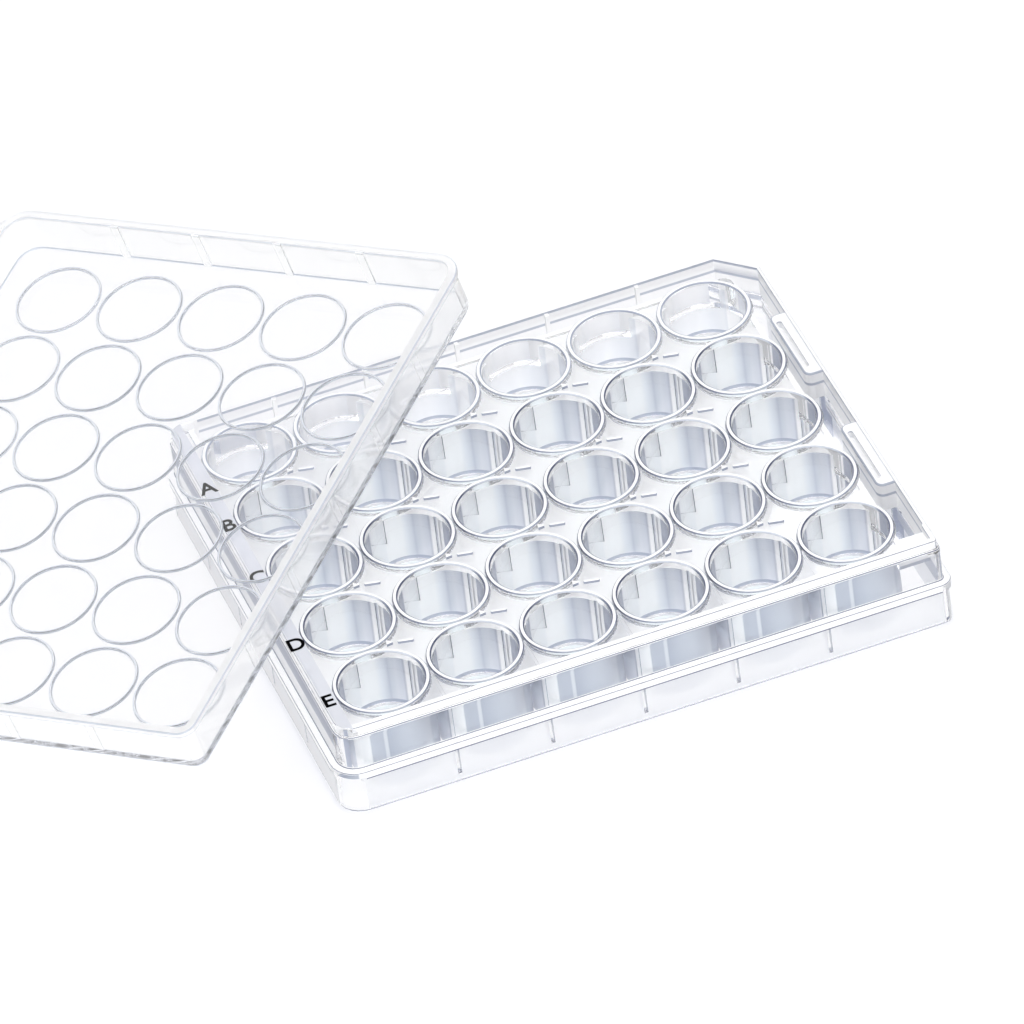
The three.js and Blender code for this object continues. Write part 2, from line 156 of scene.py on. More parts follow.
# Painted shade on the wells' outsides, for the grey stripes seen in the bores, as degrees clockwise from the
# back and colours.
PAINTED_WELL_SHADE = (
    (-81, "#ffffff"), (-80, "#868ca2"), (-45, "#82889f"), (-43, "#fafbfc"), (-40, "#fbfcfe"),
    (-17, "#f3f5f8"), (-14, "#fdfdfe"), (8, "#f8f9fa"), (15, "#e5eaf2"), (21, "#d1d7e3"),
    (24, "#b7becf"), (27, "#c8cfdc"), (34, "#d8dde8"), (43, "#c9cfdd"), (46, "#8f96ab"),
    (47, "#fafbfd"), (53, "#fcfcfd"), (54, "#aeb4c4"), (56, "#aeb4c4"), (57, "#fcfcfd"),
    (68, "#fcfcfd"), (69, "#767c93"), (107, "#81879f"), (108, "#ffffff"),
)

# The same painted shade for the back row, lighter because no well stands behind it.
PAINTED_BACK_ROW_SHADE = (
    (-81, "#ffffff"), (-80, "#e6e9ee"), (-50, "#e6e9ee"), (-46, "#fdfdfe"), (8, "#fdfdfe"),
    (25, "#eef0f4"), (42, "#e9ecf1"), (46, "#dfe3ea"), (48, "#fdfdfe"), (69, "#fdfdfe"),
    (70, "#cdd2dc"), (107, "#d3d7e0"), (108, "#ffffff"),
)

# The painted shade that the front row's tints are multiplied by, the same way: grey blocks and white gaps.
PAINTED_FRONT_ROW_SHADE = (
    (104, "#ffffff"), (106, "#a1a8bb"), (135, "#adb4c4"), (139, "#d3d8e2"), (155, "#c7cdd9"),
    (180, "#b3bac9"), (197, "#979fb3"), (198, "#d9dde5"), (201, "#d9dde5"), (202, "#aab1c2"),
    (218, "#adb4c4"), (219, "#ffffff"), (241, "#ffffff"), (242, "#bdc3d1"), (262, "#959db1"),
    (286, "#959db1"), (288, "#ffffff"),
)

# Painted shade on the rims' rounded edges, dark rings darkest at the left, as degrees clockwise from the
# back.
PAINTED_RIM_SHADE = (
    (-180, "#b9bfcc"), (-155, "#9aa1b3"), (-125, "#69708a"), (-100, "#39415f"), (-75, "#333b5a"),
    (-40, "#2e3655"), (-22, "#7d8497"), (-8, "#c4c9d5"), (62, "#ccd1dc"), (74, "#737a91"),
    (100, "#434b69"), (125, "#656c85"), (150, "#8c93a7"), (180, "#b9bfcc"),
)

# Painted shade bands on the left wall, from the table, 0, to the plate's top, 1.
PAINTED_LEFT_WALL_SHADE = (
    (0.52, "#c9cdd8"), (0.55, "#fcfcfd"), (0.68, "#fcfcfd"), (0.71, "#9298ac"), (0.85, "#7b8299"),
    (0.88, "#8d94a8"), (0.90, "#fcfcfd"),
)

# Painted pale grey shade on the label strip and white beyond it, along the top of the border from the label
# strip's left side, 0, to LABEL_REACH times its width, 1.
LABEL_REACH = 4
PAINTED_LABEL_SHADE = ((0.24, "#d6d8e0"), (0.26, "#ffffff"))

# Painted shade lines on the channel's outer walls, the same way as the left wall.
PAINTED_CHANNEL_SHADE = (
    (0.645, "#a4abbd"), (0.655, "#fcfcfd"), (0.83, "#fcfcfd"), (0.84, "#9aa1b4"), (0.86, "#9aa1b4"),
    (0.87, "#fcfcfd"), (0.965, "#fcfcfd"), (0.975, "#9aa1b4"),
)


# ---------------------------------------------------------------- colours
def linear(hex_colour):
    """An sRGB hex colour as the linear numbers that shaders take."""
    channels = [int(hex_colour[i:i + 2], 16) / 255 for i in (1, 3, 5)]
    return [c / 12.92 if c <= 0.04045 else ((c + 0.055) / 1.055) ** 2.4 for c in channels]


# ---------------------------------------------------------------- sizes
def length(name, default_mm, description):
    return bpy.props.FloatProperty(
        name=name, default=default_mm * MM, description=description, unit='LENGTH', precision=5,
    )


def tint(name, hex_colour, description):
    return bpy.props.FloatVectorProperty(
        name=name, default=linear(hex_colour), description=description, subtype='COLOR', min=0, max=1,
    )


def fraction(name, default, description="Share of light that goes through"):
    return bpy.props.FloatProperty(name=name, default=default, description=description, min=0, max=1)


class PlateSizes(bpy.types.PropertyGroup):
    """Sizes of the plate's moulding."""
    columns: bpy.props.IntProperty(name="Columns", default=6, description="Wells along a row")
    rows: bpy.props.IntProperty(name="Rows", default=5, description="Wells down a column")
    bore: length("Bore", 17.0, "Inside diameter of a well at its mouth")
    draft: length("Draft", 0.4, "Radius lost from the mouth to the floor")
    well_wall: length("Well wall", 1.05, "Thickness of a well's wall")
    well_depth: length("Well depth", 12.6, "From the rim to the floor")
    well_floor: length("Well floor", 1.2, "Thickness of a well's floor")
    fillet: length("Well fillet", 1.2, "Where a well's wall meets its floor")
    rim_gap: length("Rim gap", 0.2, "Between the rims of neighbours")
    rim_height: length("Rim height", 0.9, "Rim above the deck")
    rim_round: length("Rim round", 0.28, "Radius of the rim's two edges")
    rim_fillet: length("Rim fillet", 0.28, "Where a rim meets the deck")
    foot_ring: length("Foot ring", 4.2, "How far a well's wall runs on below its floor")
    foot_round: length("Foot round", 0.35, "Radius at the foot of a well's wall")
    land_wide: length("Land width", 4.7, "Wedge-shaped land on the back of a well's wall")
    land_proud: length("Land proud", 0.35, "How far the land's right edge stands off the wall")
    land_deep: length("Land depth", 5.8, "Land's lower edge below the deck, at its right end")
    land_rise: length("Land rise", 2.5, "How much higher the land's lower edge is at its left end")
    flute_wide: length("Flute width", 1.1, "Upright flute on the back right of a well's wall")
    flute_proud: length("Flute proud", 0.45, "How far the flute stands off the wall")
    height: length("Height", 20.0, "Whole height of the plate")
    ledge: length("Ledge", 10.2, "Top of the ledge that stops the lid")
    lip: length("Lip", 2.2, "Thickness of the ledge's edge")
    lip_line: length("Lip line", 0.25, "Height of the sharp line at the foot of the ledge's edge")
    overhang: length("Overhang", 0.5, "Ledge past the skirt below it")
    skirt_wall: length("Skirt wall", 1.3, "Thickness of the skirt")
    upper_wall: length("Upper wall", 1.2, "Thickness of the wall above the ledge")
    band: length("Band", 2.0, "Height of the inset band at the top of the wall")
    band_inset: length("Band inset", 0.5, "How far the band stands back")
    border: length("Border", 1.4, "Width of the raised border round the deck")
    deck: length("Deck", 1.2, "Thickness of the deck")
    edge: length("Edge", 0.35, "Radius of the moulding's outside edges")
    margin_left: length("Left margin", 13.2, "Outer wells' centres to the upper wall")
    margin_right: length("Right margin", 15.1, "Outer wells' centres to the upper wall")
    margin_front: length("Front margin", 12.4, "Outer wells' centres to the upper wall")
    margin_back: length("Back margin", 14.3, "Outer wells' centres to the upper wall")
    left_corner: length("Left corners", 4.0, "Radius of the two left corners")
    right_corner: length("Right corner", 1.2, "Radius of the front right corner")
    key: length("Key chamfer", 7.5, "Cut corner that tells the plate's way round")
    label_gap: length("Label gap", 0.3, "Letter strip to the first column's rims")
    channel_depth: length("Channel depth", 5.0, "Channel's floor below the deck")
    channel_shell: length("Channel shell", 1.1, "Thickness of the channel's walls")
    deck_reach: length("Deck reach", 8.6, "Outer wells' centres to the channel")
    channel_start: length("Channel start", 5.6, "From the upper wall's left face")
    channel_end: length("Channel end", 6.0, "From the upper wall's front face")
    channel_corner: length("Channel corner", 2.0, "Radius of the deck's corner at the channel")
    pad_length: length("Pad length", 21.0, "Pads that bridge the right channel")
    pad_clearance: length("Pad clearance", 0.8, "Pad to the nearest rims")
    pad_drop: length("Pad drop", 0.3, "Pad below the border")
    pad_corner: length("Pad corner", 1.6, "Radius of a pad's inner corners")
    groove_inset: length("Groove inset", 1.3, "Pad's inner edge to its groove's middle")
    groove_width: length("Groove width", 1.1, "Width of a pad's groove")
    groove_length: length("Groove length", 16.0, "Length of a pad's groove")
    groove_depth: length("Groove depth", 1.6, "Depth of a pad's groove")
    rib: length("Rib", 0.8, "Thickness of the wall's ribs")
    rib_reach: length("Rib reach", 1.0, "How far a rib stands in from the wall")
    gusset_reach: length("Gusset reach", 2.6, "How far a rib's foot stands in from the skirt")
    gusset_foot: length("Gusset foot", 1.4, "Lower end of a rib above the table")
    bar_length: length("Bar length", 3.2, "Raised bars between four wells")
    bar_width: length("Bar width", 0.7, "Width of a raised bar")
    bar_height: length("Bar height", 0.6, "Height of a raised bar")
    bar_offset: length("Bar offset", 0.35, "Bar's right end beyond the middle of its space")
    bar_drop: length("Bar drop", 0.45, "Bar's right end in front of the middle of its space")
    wedge: length("Wedge", 1.2, "Small wedge behind each bar's left end")
    wedge_gap: length("Wedge gap", 0.5, "Between a bar and its wedge")
    web_width: length("Web width", 0.6, "Webs from the front gaps to the border")
    web_height: length("Web height", 0.3, "Height of a web")
    web_gap: length("Web gap", 1.0, "Web's back end from the narrowest place between wells")


class LidSizes(bpy.types.PropertyGroup):
    """Sizes of the lid and how it leans."""
    clearance: length("Clearance", 0.5, "Lid round the plate's upper wall")
    wall: length("Wall", 1.0, "Thickness of the lid's wall")
    panel: length("Panel", 1.2, "Thickness of the lid's panel")
    seat_gap: length("Seat gap", 0.6, "Rim above the plate's ledge when closed")
    flange: length("Flange", 0.7, "How far the rim's flange stands out")
    flange_height: length("Flange height", 1.4, "Height of the rim's flange")
    ring_height: length("Ring height", 0.5, "Height of the condensation rings")
    ring_width: length("Ring width", 0.7, "Width of the condensation rings")
    ring_clearance: length("Ring clearance", 0.3, "Rings above the rims when closed")
    ring_inset: length("Ring inset", 0.3, "Ring inside the rim's outer radius")
    rib_width: length("Rib width", 1.8, "Width of the lid's wall ribs")
    rib_depth: length("Rib depth", 0.35, "Depth of the lid's wall ribs")
    bevel: length("Bevel", 0.6, "Radius round the panel's outer face")
    rest_gap: length("Rest gap", 0.3, "Gap where the lid touches plate and table")
    yaw: bpy.props.FloatProperty(
        name="Yaw", default=math.radians(223.3), subtype='ANGLE', description="Lid's turn in plan",
    )
    lean_out: length("Lean out", 16.3, "Lid's centre beyond the plate's left edge")
    lean_back: length("Lean back", 39.5, "Lid's centre behind the plate's")


class Finishes(bpy.types.PropertyGroup):
    """Colours and gloss of the mouldings and the print."""
    plastic: tint("Polystyrene", "#fefeff", "Tint of the clear polystyrene")
    gloss: fraction("Roughness", 0.0, "Roughness of the polished mould")
    satin: tint("Satin", "#dbe0ea", "Tint of the wells' textured outsides")
    satin_clear: fraction("Satin clearness", 0.7)
    satin_gloss: fraction("Satin roughness", 0.28, "Roughness of the wells' outsides")
    frost: tint("Frost", "#ffffff", "Tint of the textured flats")
    frost_gloss: fraction("Frost roughness", 0.35, "Roughness of the textured flats")
    frost_clear: fraction("Frost clearness", 0.55)
    # painted shade: the dark outline of the narrow edges
    edge: tint("Edges", "#28304e", "Tint of the narrow edges, where light runs along the plastic")
    # painted shade: the dark outline of the ledge's lower edge and the skirt's foot
    painted_dark_line: tint("Dark lines", "#545c77", "Tint of the ledge's lower edge and the skirt's foot")
    # painted shade: the pale grey line of the border's edges and the ribs
    line: tint("Soft lines", "#a4abbd", "Tint of the border's edges and the ribs")
    line_clear: fraction("Soft line clearness", 0.5)
    # painted shade: the grey of the bars' sides and the back row's lips
    bar: tint("Bars", "#9aa1b4", "Tint of the small bars on the deck")
    floor: tint("Well floors", "#eaf0f1", "Tint of the wells' floors")
    skirt: tint("Skirt", "#f4f5f7", "Tint of the skirt's inside")
    skirt_clear: fraction("Skirt clearness", 0.25)
    # painted shade: the pale grey of the lid's rounded edges and rings
    painted_lid_shade: tint("Lid's lines", "#d0d5df", "Tint of the lid's rings and rounded edges")
    edge_clear: fraction("Edge clearness", 0.25)
    ink: tint("Ink", "#08080a", "Colour of the printed letters")


class StageSettings(bpy.types.PropertyGroup):
    """Floor, light and camera."""
    floor: tint("Floor", "#f6f6f8", "Colour of the floor")
    horizon: tint("Horizon", "#c4cad6", "Colour of the studio at the horizon")
    glow: fraction(
        "Floor glow", 0.6, "How much of the floor is plain white where it is seen through or in the plastic",
    )
    camera_glow: fraction(
        "Floor glow in view", 0.1, "How much of the floor is plain white where it is seen directly",
    )
    sky: tint("Ceiling", "#ffffff", "Colour of the studio overhead")


# ---------------------------------------------------------------- worked-out places
class Plan:
    """The plate's sizes and the places worked out from them, in the plate's own frame."""

    def __init__(self, s):
        self.s = s
        self.pitch = s.bore + 2 * s.well_wall + s.rim_gap
        self.rim_radius = s.bore / 2 + s.well_wall
        lid = bpy.context.scene.plate_lid
        self.rim_top = s.height - lid.ring_height - lid.ring_clearance
        self.deck_top = self.rim_top - s.rim_height
        self.deck_under = self.deck_top - s.deck
        self.floor_top = self.rim_top - s.well_depth
        self.well_bottom = self.floor_top - s.well_floor
        self.ledge_width = lid.clearance + lid.wall
        self.skirt_offset = self.ledge_width - s.overhang
        self.lip_under = s.ledge - s.lip
        self.channel_floor = self.deck_top - s.channel_depth
        self.half_x = (s.columns - 1) * self.pitch / 2
        self.half_y = (s.rows - 1) * self.pitch / 2
        self.left = -self.half_x - s.margin_left
        self.right = self.half_x + s.margin_right
        self.front = -self.half_y - s.margin_front
        self.back = self.half_y + s.margin_back
        self.deck_right = self.half_x + s.deck_reach
        self.deck_back = self.half_y + s.deck_reach
        self.label_edge = -self.half_x - self.rim_radius - s.label_gap
        self.column_gaps = [-self.half_x + (i + 0.5) * self.pitch for i in range(s.columns - 1)]
        self.row_gaps = [self.half_y - (i + 0.5) * self.pitch for i in range(s.rows - 1)]

    def place(self):
        """Where the plate's own origin lies in the frame."""
        low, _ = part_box("plate")
        return Vector((
            low.x - self.left + self.ledge_width,
            low.y - self.front + self.ledge_width,
            low.z,
        ))

    def row(self, number):
        return self.half_y - number * self.pitch


# ---------------------------------------------------------------- workbench
def settle():
    """Moves the active object's place, turn and size into its mesh."""
    bpy.ops.object.transform_apply(location=True, rotation=True, scale=True)


def clear_selection():
    if bpy.context.mode != 'OBJECT':
        bpy.ops.object.mode_set(mode='OBJECT')
    bpy.ops.object.select_all(action='DESELECT')


def activate(*objects):
    clear_selection()
    for obj in objects:
        obj.select_set(True)
    bpy.context.view_layer.objects.active = objects[0]


def pick(obj, kind, test):
    """Goes into edit mode with only the vertices, edges or faces that pass the test selected."""
    if obj.mode != 'EDIT':
        activate(obj)
        bpy.ops.object.mode_set(mode='EDIT')
    bpy.ops.mesh.select_mode(type={'verts': 'VERT', 'edges': 'EDGE', 'faces': 'FACE'}[kind])
    bpy.ops.mesh.select_all(action='DESELECT')
    mesh = bmesh.from_edit_mesh(obj.data)
    for item in getattr(mesh, kind):
        if test(item):
            item.select_set(True)
    mesh.select_flush_mode()
    bmesh.update_edit_mesh(obj.data)


def quarter(radius, steps, hollow=False):
    """The [inward, onward] moves that round an edge, or fill a hollow corner, in a quarter circle."""
    turn = [math.pi / 2 * i / steps for i in range(steps + 1)]
    places = [(radius * (1 - math.cos(a)), radius * math.sin(a)) for a in turn]
    if hollow:
        places = [(radius * math.sin(a), radius * (1 - math.cos(a))) for a in turn]
    return [(b[0] - a[0], b[1] - a[1]) for a, b in zip(places, places[1:])]


def raise_face(moves):
    """Carries the selected flat face on by [inward, onward] moves, which keep its outline's offset."""
    for inward, onward in moves:
        bpy.ops.mesh.inset(thickness=max(inward, WELD), depth=onward, use_even_offset=True)


def slab(name, low, high, corners=()):
    """A closed block from the low to the high corner. Each of corners is (x, y, radius, steps)."""
    clear_selection()
    middle = ((low[0] + high[0]) / 2, (low[1] + high[1]) / 2, low[2])
    bpy.ops.mesh.primitive_plane_add(size=1, location=middle)
    obj = bpy.context.object
    obj.name = name
    obj.scale = (high[0] - low[0], high[1] - low[1], 1)
    settle()
    for x, y, radius, steps in corners:
        pick(obj, 'verts', lambda v: (v.co.xy - Vector((x, y))).length < FOUND)
        bpy.ops.mesh.bevel(
            offset=radius, offset_type='OFFSET', segments=steps, affect='VERTICES', clamp_overlap=False,
        )
    pick(obj, 'faces', lambda f: True)
    bpy.ops.mesh.extrude_region_move(TRANSFORM_OT_translate={"value": (0, 0, high[2] - low[2])})
    return obj


def close(obj, turn_out=True):
    """Leaves edit mode with doubled points merged, and the faces of a plain form pointing out."""
    pick(obj, 'verts', lambda v: True)
    bpy.ops.mesh.remove_doubles(threshold=WELD)
    if turn_out:
        bpy.ops.mesh.normals_make_consistent(inside=False)
    bpy.ops.object.mode_set(mode='OBJECT')
    return obj


def copies(obj, places):
    """The object once at each place, as one mesh, and the first removed."""
    made = []
    for x, y in places:
        twin = obj.copy()
        twin.data = obj.data.copy()
        bpy.context.collection.objects.link(twin)
        twin.location = (x, y, 0)
        made.append(twin)
    bpy.data.objects.remove(obj)
    activate(*made)
    bpy.ops.object.join()
    settle()
    return bpy.context.object


def combine(body, operation, *forms):
    """Joins or cuts the body with forms, which are used up."""
    for form in forms:
        activate(body)
        modifier = body.modifiers.new("form", 'BOOLEAN')
        modifier.operation = operation
        modifier.object = form
        modifier.solver = 'MANIFOLD'
        bpy.ops.object.modifier_apply(modifier=modifier.name)
        bpy.data.objects.remove(form)
    return body


def is_flat(face):
    """Whether a face belongs to one of a moulding's flats, which lie square or at 45 degrees."""
    x, y, z = (abs(part) for part in face.normal)
    return max(x, y, z) > FLAT_SQUARE or (z < FLAT_UPRIGHT and abs(x - y) < FLAT_DIAGONAL)


def smooth(obj):
    """Shades the rounds smooth and leaves the flats flat."""
    activate(obj)
    bpy.ops.object.shade_smooth_by_angle(angle=SMOOTH_ANGLE)
    pick(obj, 'faces', is_flat)
    bpy.ops.mesh.faces_shade_flat()
    bpy.ops.object.mode_set(mode='OBJECT')


def paint(obj, kinds, kind_of):
    """Gives each face the material of its kind, where kind_of names one."""
    numbers = {}
    for kind, material in kinds.items():
        obj.data.materials.append(material)
        numbers[kind] = len(obj.data.materials) - 1
    for face in obj.data.polygons:
        kind = kind_of(face.center, face.normal)
        if kind:
            face.material_index = numbers[kind]


def finish(obj, name, material, slot, *nodes):
    """Names a moulding, gives it its material and puts it in the frame."""
    obj.name = name
    obj.data.name = name
    activate(obj)
    settle()
    obj.data.materials.clear()
    obj.data.materials.append(material)
    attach(obj, "root")
    if nodes:
        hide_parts(*nodes)
    return obj


# ---------------------------------------------------------------- forms
def outline(name, plan, grow, bottom, top):
    """A slab in the plate's outline moved outward by grow, with its top face left selected."""
    s = plan.s
    left, right = plan.left - grow, plan.right + grow
    front, back = plan.front - grow, plan.back + grow
    round_left = max(s.left_corner + grow, LEAST_ROUND)
    round_right = max(s.right_corner + grow, LEAST_ROUND)
    leg = s.key + grow * KEY_GROWTH
    return slab(name, (left, front, bottom), (right, back, top), (
        (left, front, round_left, CORNER_STEPS),
        (left, back, round_left, CORNER_STEPS),
        (right, front, round_right, CORNER_STEPS),
        (right, back, leg, 1),
    ))


def turn_form(name, rings, steps=WELL_STEPS):
    """A closed round form about Z through rings of (radius, z), from the bottom up."""
    clear_selection()
    radius, z = rings[0]
    bpy.ops.mesh.primitive_circle_add(vertices=steps, radius=radius, fill_type='NGON', location=(0, 0, z))
    obj = bpy.context.object
    obj.name = name
    settle()
    pick(obj, 'faces', lambda f: True)
    for next_radius, next_z in rings[1:]:
        share = next_radius / radius
        bpy.ops.mesh.extrude_region_move(TRANSFORM_OT_translate={"value": (0, 0, next_z - z)})
        bpy.ops.transform.resize(value=(share, share, 1), center_override=(0, 0, next_z))
        radius, z = next_radius, next_z
    return close(obj)


def arc(centre_r, centre_z, radius, start, end, steps):
    """Rings on a circle's arc, with angles in degrees from +r towards +z."""
    rings = []
    for i in range(steps + 1):
        angle = math.radians(start + (end - start) * i / steps)
        rings.append((centre_r + radius * math.cos(angle), centre_z + radius * math.sin(angle)))
    return rings


# ---------------------------------------------------------------- the plate
def plate_shell(plan):
    """Skirt, ledge, upper wall, band and deck, hollow below."""
    s = plan.s
    edge = s.edge
    base = plan.lip_under + edge
    body = outline("shell", plan, plan.ledge_width, base, base + s.lip_line)
    raise_face([(0, s.ledge - edge - base - s.lip_line)] + quarter(edge, 4))
    flat = plan.ledge_width - edge - edge
    raise_face([(flat, 0)] + quarter(edge, 3, hollow=True))
    foot = s.height - s.band
    raise_face([(0, foot - s.ledge - edge - edge)] + quarter(edge, 3))
    raise_face([(s.band_inset - edge, 0), (0, s.band - edge)] + quarter(edge, 4))
    pick(body, 'faces', lambda f: f.normal.z < -FACING or abs(f.calc_center_median().z - base) < FOUND)
    raise_face([(s.overhang, edge), (0, plan.lip_under - edge)] + quarter(edge, 2))
    close(body)

    inset = plan.skirt_offset - s.skirt_wall
    hollow = outline("underside", plan, inset, -PAST, plan.lip_under)
    raise_face([(inset + s.upper_wall, inset + s.upper_wall)])
    raise_face([(0, plan.deck_under - plan.lip_under - inset - s.upper_wall - edge)])
    raise_face(quarter(edge, 3))
    close(hollow)

    inner = -s.band_inset - s.border
    recess = outline("recess", plan, inner + edge, plan.deck_top, s.height + PAST)
    close(recess)
    strip = slab(
        "strip",
        (plan.left - PAST, plan.front - PAST, plan.deck_top - PAST),
        (plan.label_edge, plan.back + PAST, s.height + 2 * PAST),
    )
    combine(recess, 'DIFFERENCE', close(strip))
    return combine(body, 'DIFFERENCE', hollow, recess)


def channel_form(plan, grow, bottom, top):
    """The L-shaped channel behind and right of the wells, its walls moved outward by grow."""
    s = plan.s
    x0 = plan.left + s.channel_start - grow
    y0 = plan.front + s.channel_end - grow
    x1 = plan.right - s.upper_wall + min(grow, JOIN)
    y1 = plan.back - s.upper_wall + min(grow, JOIN)
    leg = s.key - s.upper_wall * KEY_GROWTH
    end = (x1 - plan.deck_right) / 2
    form = slab("channel", (x0, y0, bottom), (x1, y1, top), (
        (x1, y1, leg, 1),
        (x0, y1, CHANNEL_ROUND, 4),
        (x1, y0, CHANNEL_END_ROUND, 4),
        (x0, y0, CHANNEL_END_ROUND, 1),
    ))
    x, y = plan.deck_right - grow, plan.deck_back - grow
    deck = slab(
        "deck block", (x0 - PAST, y0 - PAST, bottom - PAST), (x, y, top + PAST),
        ((x, y, min(s.channel_corner, end), 5),),
    )
    return combine(close(form), 'DIFFERENCE', close(deck))


def pads(plan):
    """The two pads that bridge the right channel, each with a long round-ended groove."""
    s = plan.s
    inner = plan.half_x + plan.rim_radius + s.pad_clearance
    outer = plan.right - s.upper_wall + JOIN
    top = s.height - s.pad_drop
    made = []
    for number in (1, s.rows - 2):
        y = plan.row(number)
        low, high = y - s.pad_length / 2, y + s.pad_length / 2
        pad = slab(
            "pad", (inner, low, plan.channel_floor - s.channel_shell / 2), (outer, high, top - s.edge),
            ((inner, low, s.pad_corner, 5), (inner, high, s.pad_corner, 5)),
        )
        raise_face(quarter(s.edge, 3))
        close(pad)
        x = inner + s.groove_inset
        half = s.groove_width / 2
        low, high = y - s.groove_length / 2, y + s.groove_length / 2
        groove = slab(
            "groove", (x - half, low, top - s.groove_depth), (x + half, high, top + PAST),
            [(gx, gy, half * NEARLY_ROUND, 4) for gx in (x - half, x + half) for gy in (low, high)],
        )
        made.append(combine(pad, 'DIFFERENCE', close(groove)))
    return made


def wall_rib(plan, x, y, facing):
    """A rib up the inside of a wall that widens into a curved gusset inside the skirt."""
    s = plan.s
    skirt = s.skirt_wall - plan.skirt_offset
    wall = s.upper_wall
    top = plan.deck_under + JOIN
    half = s.rib / 2
    gusset = slab(
        "gusset", (-half, skirt - JOIN, s.gusset_foot), (half, skirt + s.gusset_reach, plan.lip_under),
    )
    pick(gusset, 'edges', lambda e: all(
        abs(v.co.y - skirt - s.gusset_reach) < FOUND and abs(v.co.z - s.gusset_foot) < FOUND
        for v in e.verts
    ))
    bpy.ops.mesh.bevel(
        offset=s.gusset_reach - s.edge, offset_type='OFFSET', segments=6, affect='EDGES',
        clamp_overlap=False,
    )
    close(gusset)
    upright = slab(
        "upright", (-half, skirt, plan.lip_under - JOIN), (half, wall + s.rib_reach, top),
    )
    rib = combine(gusset, 'UNION', close(upright))
    activate(rib)
    rib.rotation_euler = (0, 0, math.radians(facing))
    rib.location = (x, y, 0)
    settle()
    return rib


def ribs(plan):
    """All the ribs inside the walls, and those up the channel's back wall."""
    s = plan.s
    made = []
    for x in plan.column_gaps:
        made.append(wall_rib(plan, x, plan.front, 0))
        made.append(wall_rib(plan, x, plan.back, 180))
    for y in plan.row_gaps:
        made.append(wall_rib(plan, plan.left, y, -90))
        made.append(wall_rib(plan, plan.right, y, 90))
    face = plan.back - s.upper_wall
    for x in plan.column_gaps:
        made.append(close(slab(
            "channel rib",
            (x - s.rib / 2, face - s.rib_reach, plan.channel_floor - s.channel_shell / 2),
            (x + s.rib / 2, face + JOIN, s.height - s.edge),
        )))
    return made


def deck_bars(plan):
    """Low raised lines on the deck: a bar between four wells, a web from each front gap."""
    s = plan.s
    base = plan.deck_top - JOIN
    half = s.bar_width / 2
    made = []
    for x in plan.column_gaps:
        for y in plan.row_gaps:
            low, high = (-s.bar_length, -half), (0, half)
            corners = [
                (cx, cy, half * BAR_ROUND, 4) for cx in (low[0], high[0]) for cy in (low[1], high[1])
            ]
            bar = slab("bar", (*low, base), (*high, plan.deck_top + s.bar_height - half / 2), corners)
            raise_face(quarter(half / 2, 3))
            set_down(close(bar), x + s.bar_offset, y - s.bar_drop, BAR_TURN)
            made.append(bar)
            wedge = slab(
                "wedge", (-s.wedge, -s.wedge / 2, base), (0, s.wedge / 2, plan.deck_top + s.bar_height),
            )
            pick(wedge, 'verts', lambda v: v.co.x > -FOUND)
            bpy.ops.transform.resize(value=(1, WEDGE_POINT, 1), center_override=(0, 0, 0))
            set_down(close(wedge), x - s.bar_length - s.wedge_gap, y + s.bar_drop, BAR_TURN)
            made.append(wedge)
        rail = s.web_width / 2
        made.append(close(slab(
            "web", (x - rail, plan.front + s.border, base),
            (x + rail, plan.row(s.rows - 1) - s.web_gap, plan.deck_top + s.web_height),
        )))
    return made


def grid(plan):
    s = plan.s
    return [(-plan.half_x + c * plan.pitch, plan.row(r)) for r in range(s.rows) for c in range(s.columns)]


def well_outsides(plan, parity):
    """Every second well's outside, because neighbours' fillets overlap."""
    s = plan.s
    radius, r, foot = plan.rim_radius, s.rim_round, s.foot_round
    rings = arc(radius - foot, plan.well_bottom - s.foot_ring + foot, foot, -90, 0, 4)
    flare = s.rim_fillet
    rings += [(radius, plan.deck_top - flare), (radius + flare, plan.deck_top - flare / 2)]
    rings += arc(radius + flare, plan.deck_top + flare - SINK, flare, 270, 180, 4)
    rings += arc(radius - r, plan.rim_top - r, r, 0, 90, 4)
    places = [place for n, place in enumerate(grid(plan)) if (n % s.columns + n // s.columns) % 2 == parity]
    return copies(turn_form("well", rings), places)


def well_undersides(plan):
    """The hollow under each well's floor, inside its foot ring."""
    s = plan.s
    radius = s.bore / 2 - s.draft
    low, high = plan.well_bottom - s.foot_ring, plan.well_bottom
    r = s.foot_round
    rings = [(radius + r, low - PAST), (radius + r, low)]
    rings += [(radius + r - r * math.sin(math.radians(a)), low + r - r * math.cos(math.radians(a)))
              for a in (30, 60, 90)]
    rings += arc(radius - r, high - r, r, 0, 90, 3)
    return copies(turn_form("underside", rings), grid(plan))


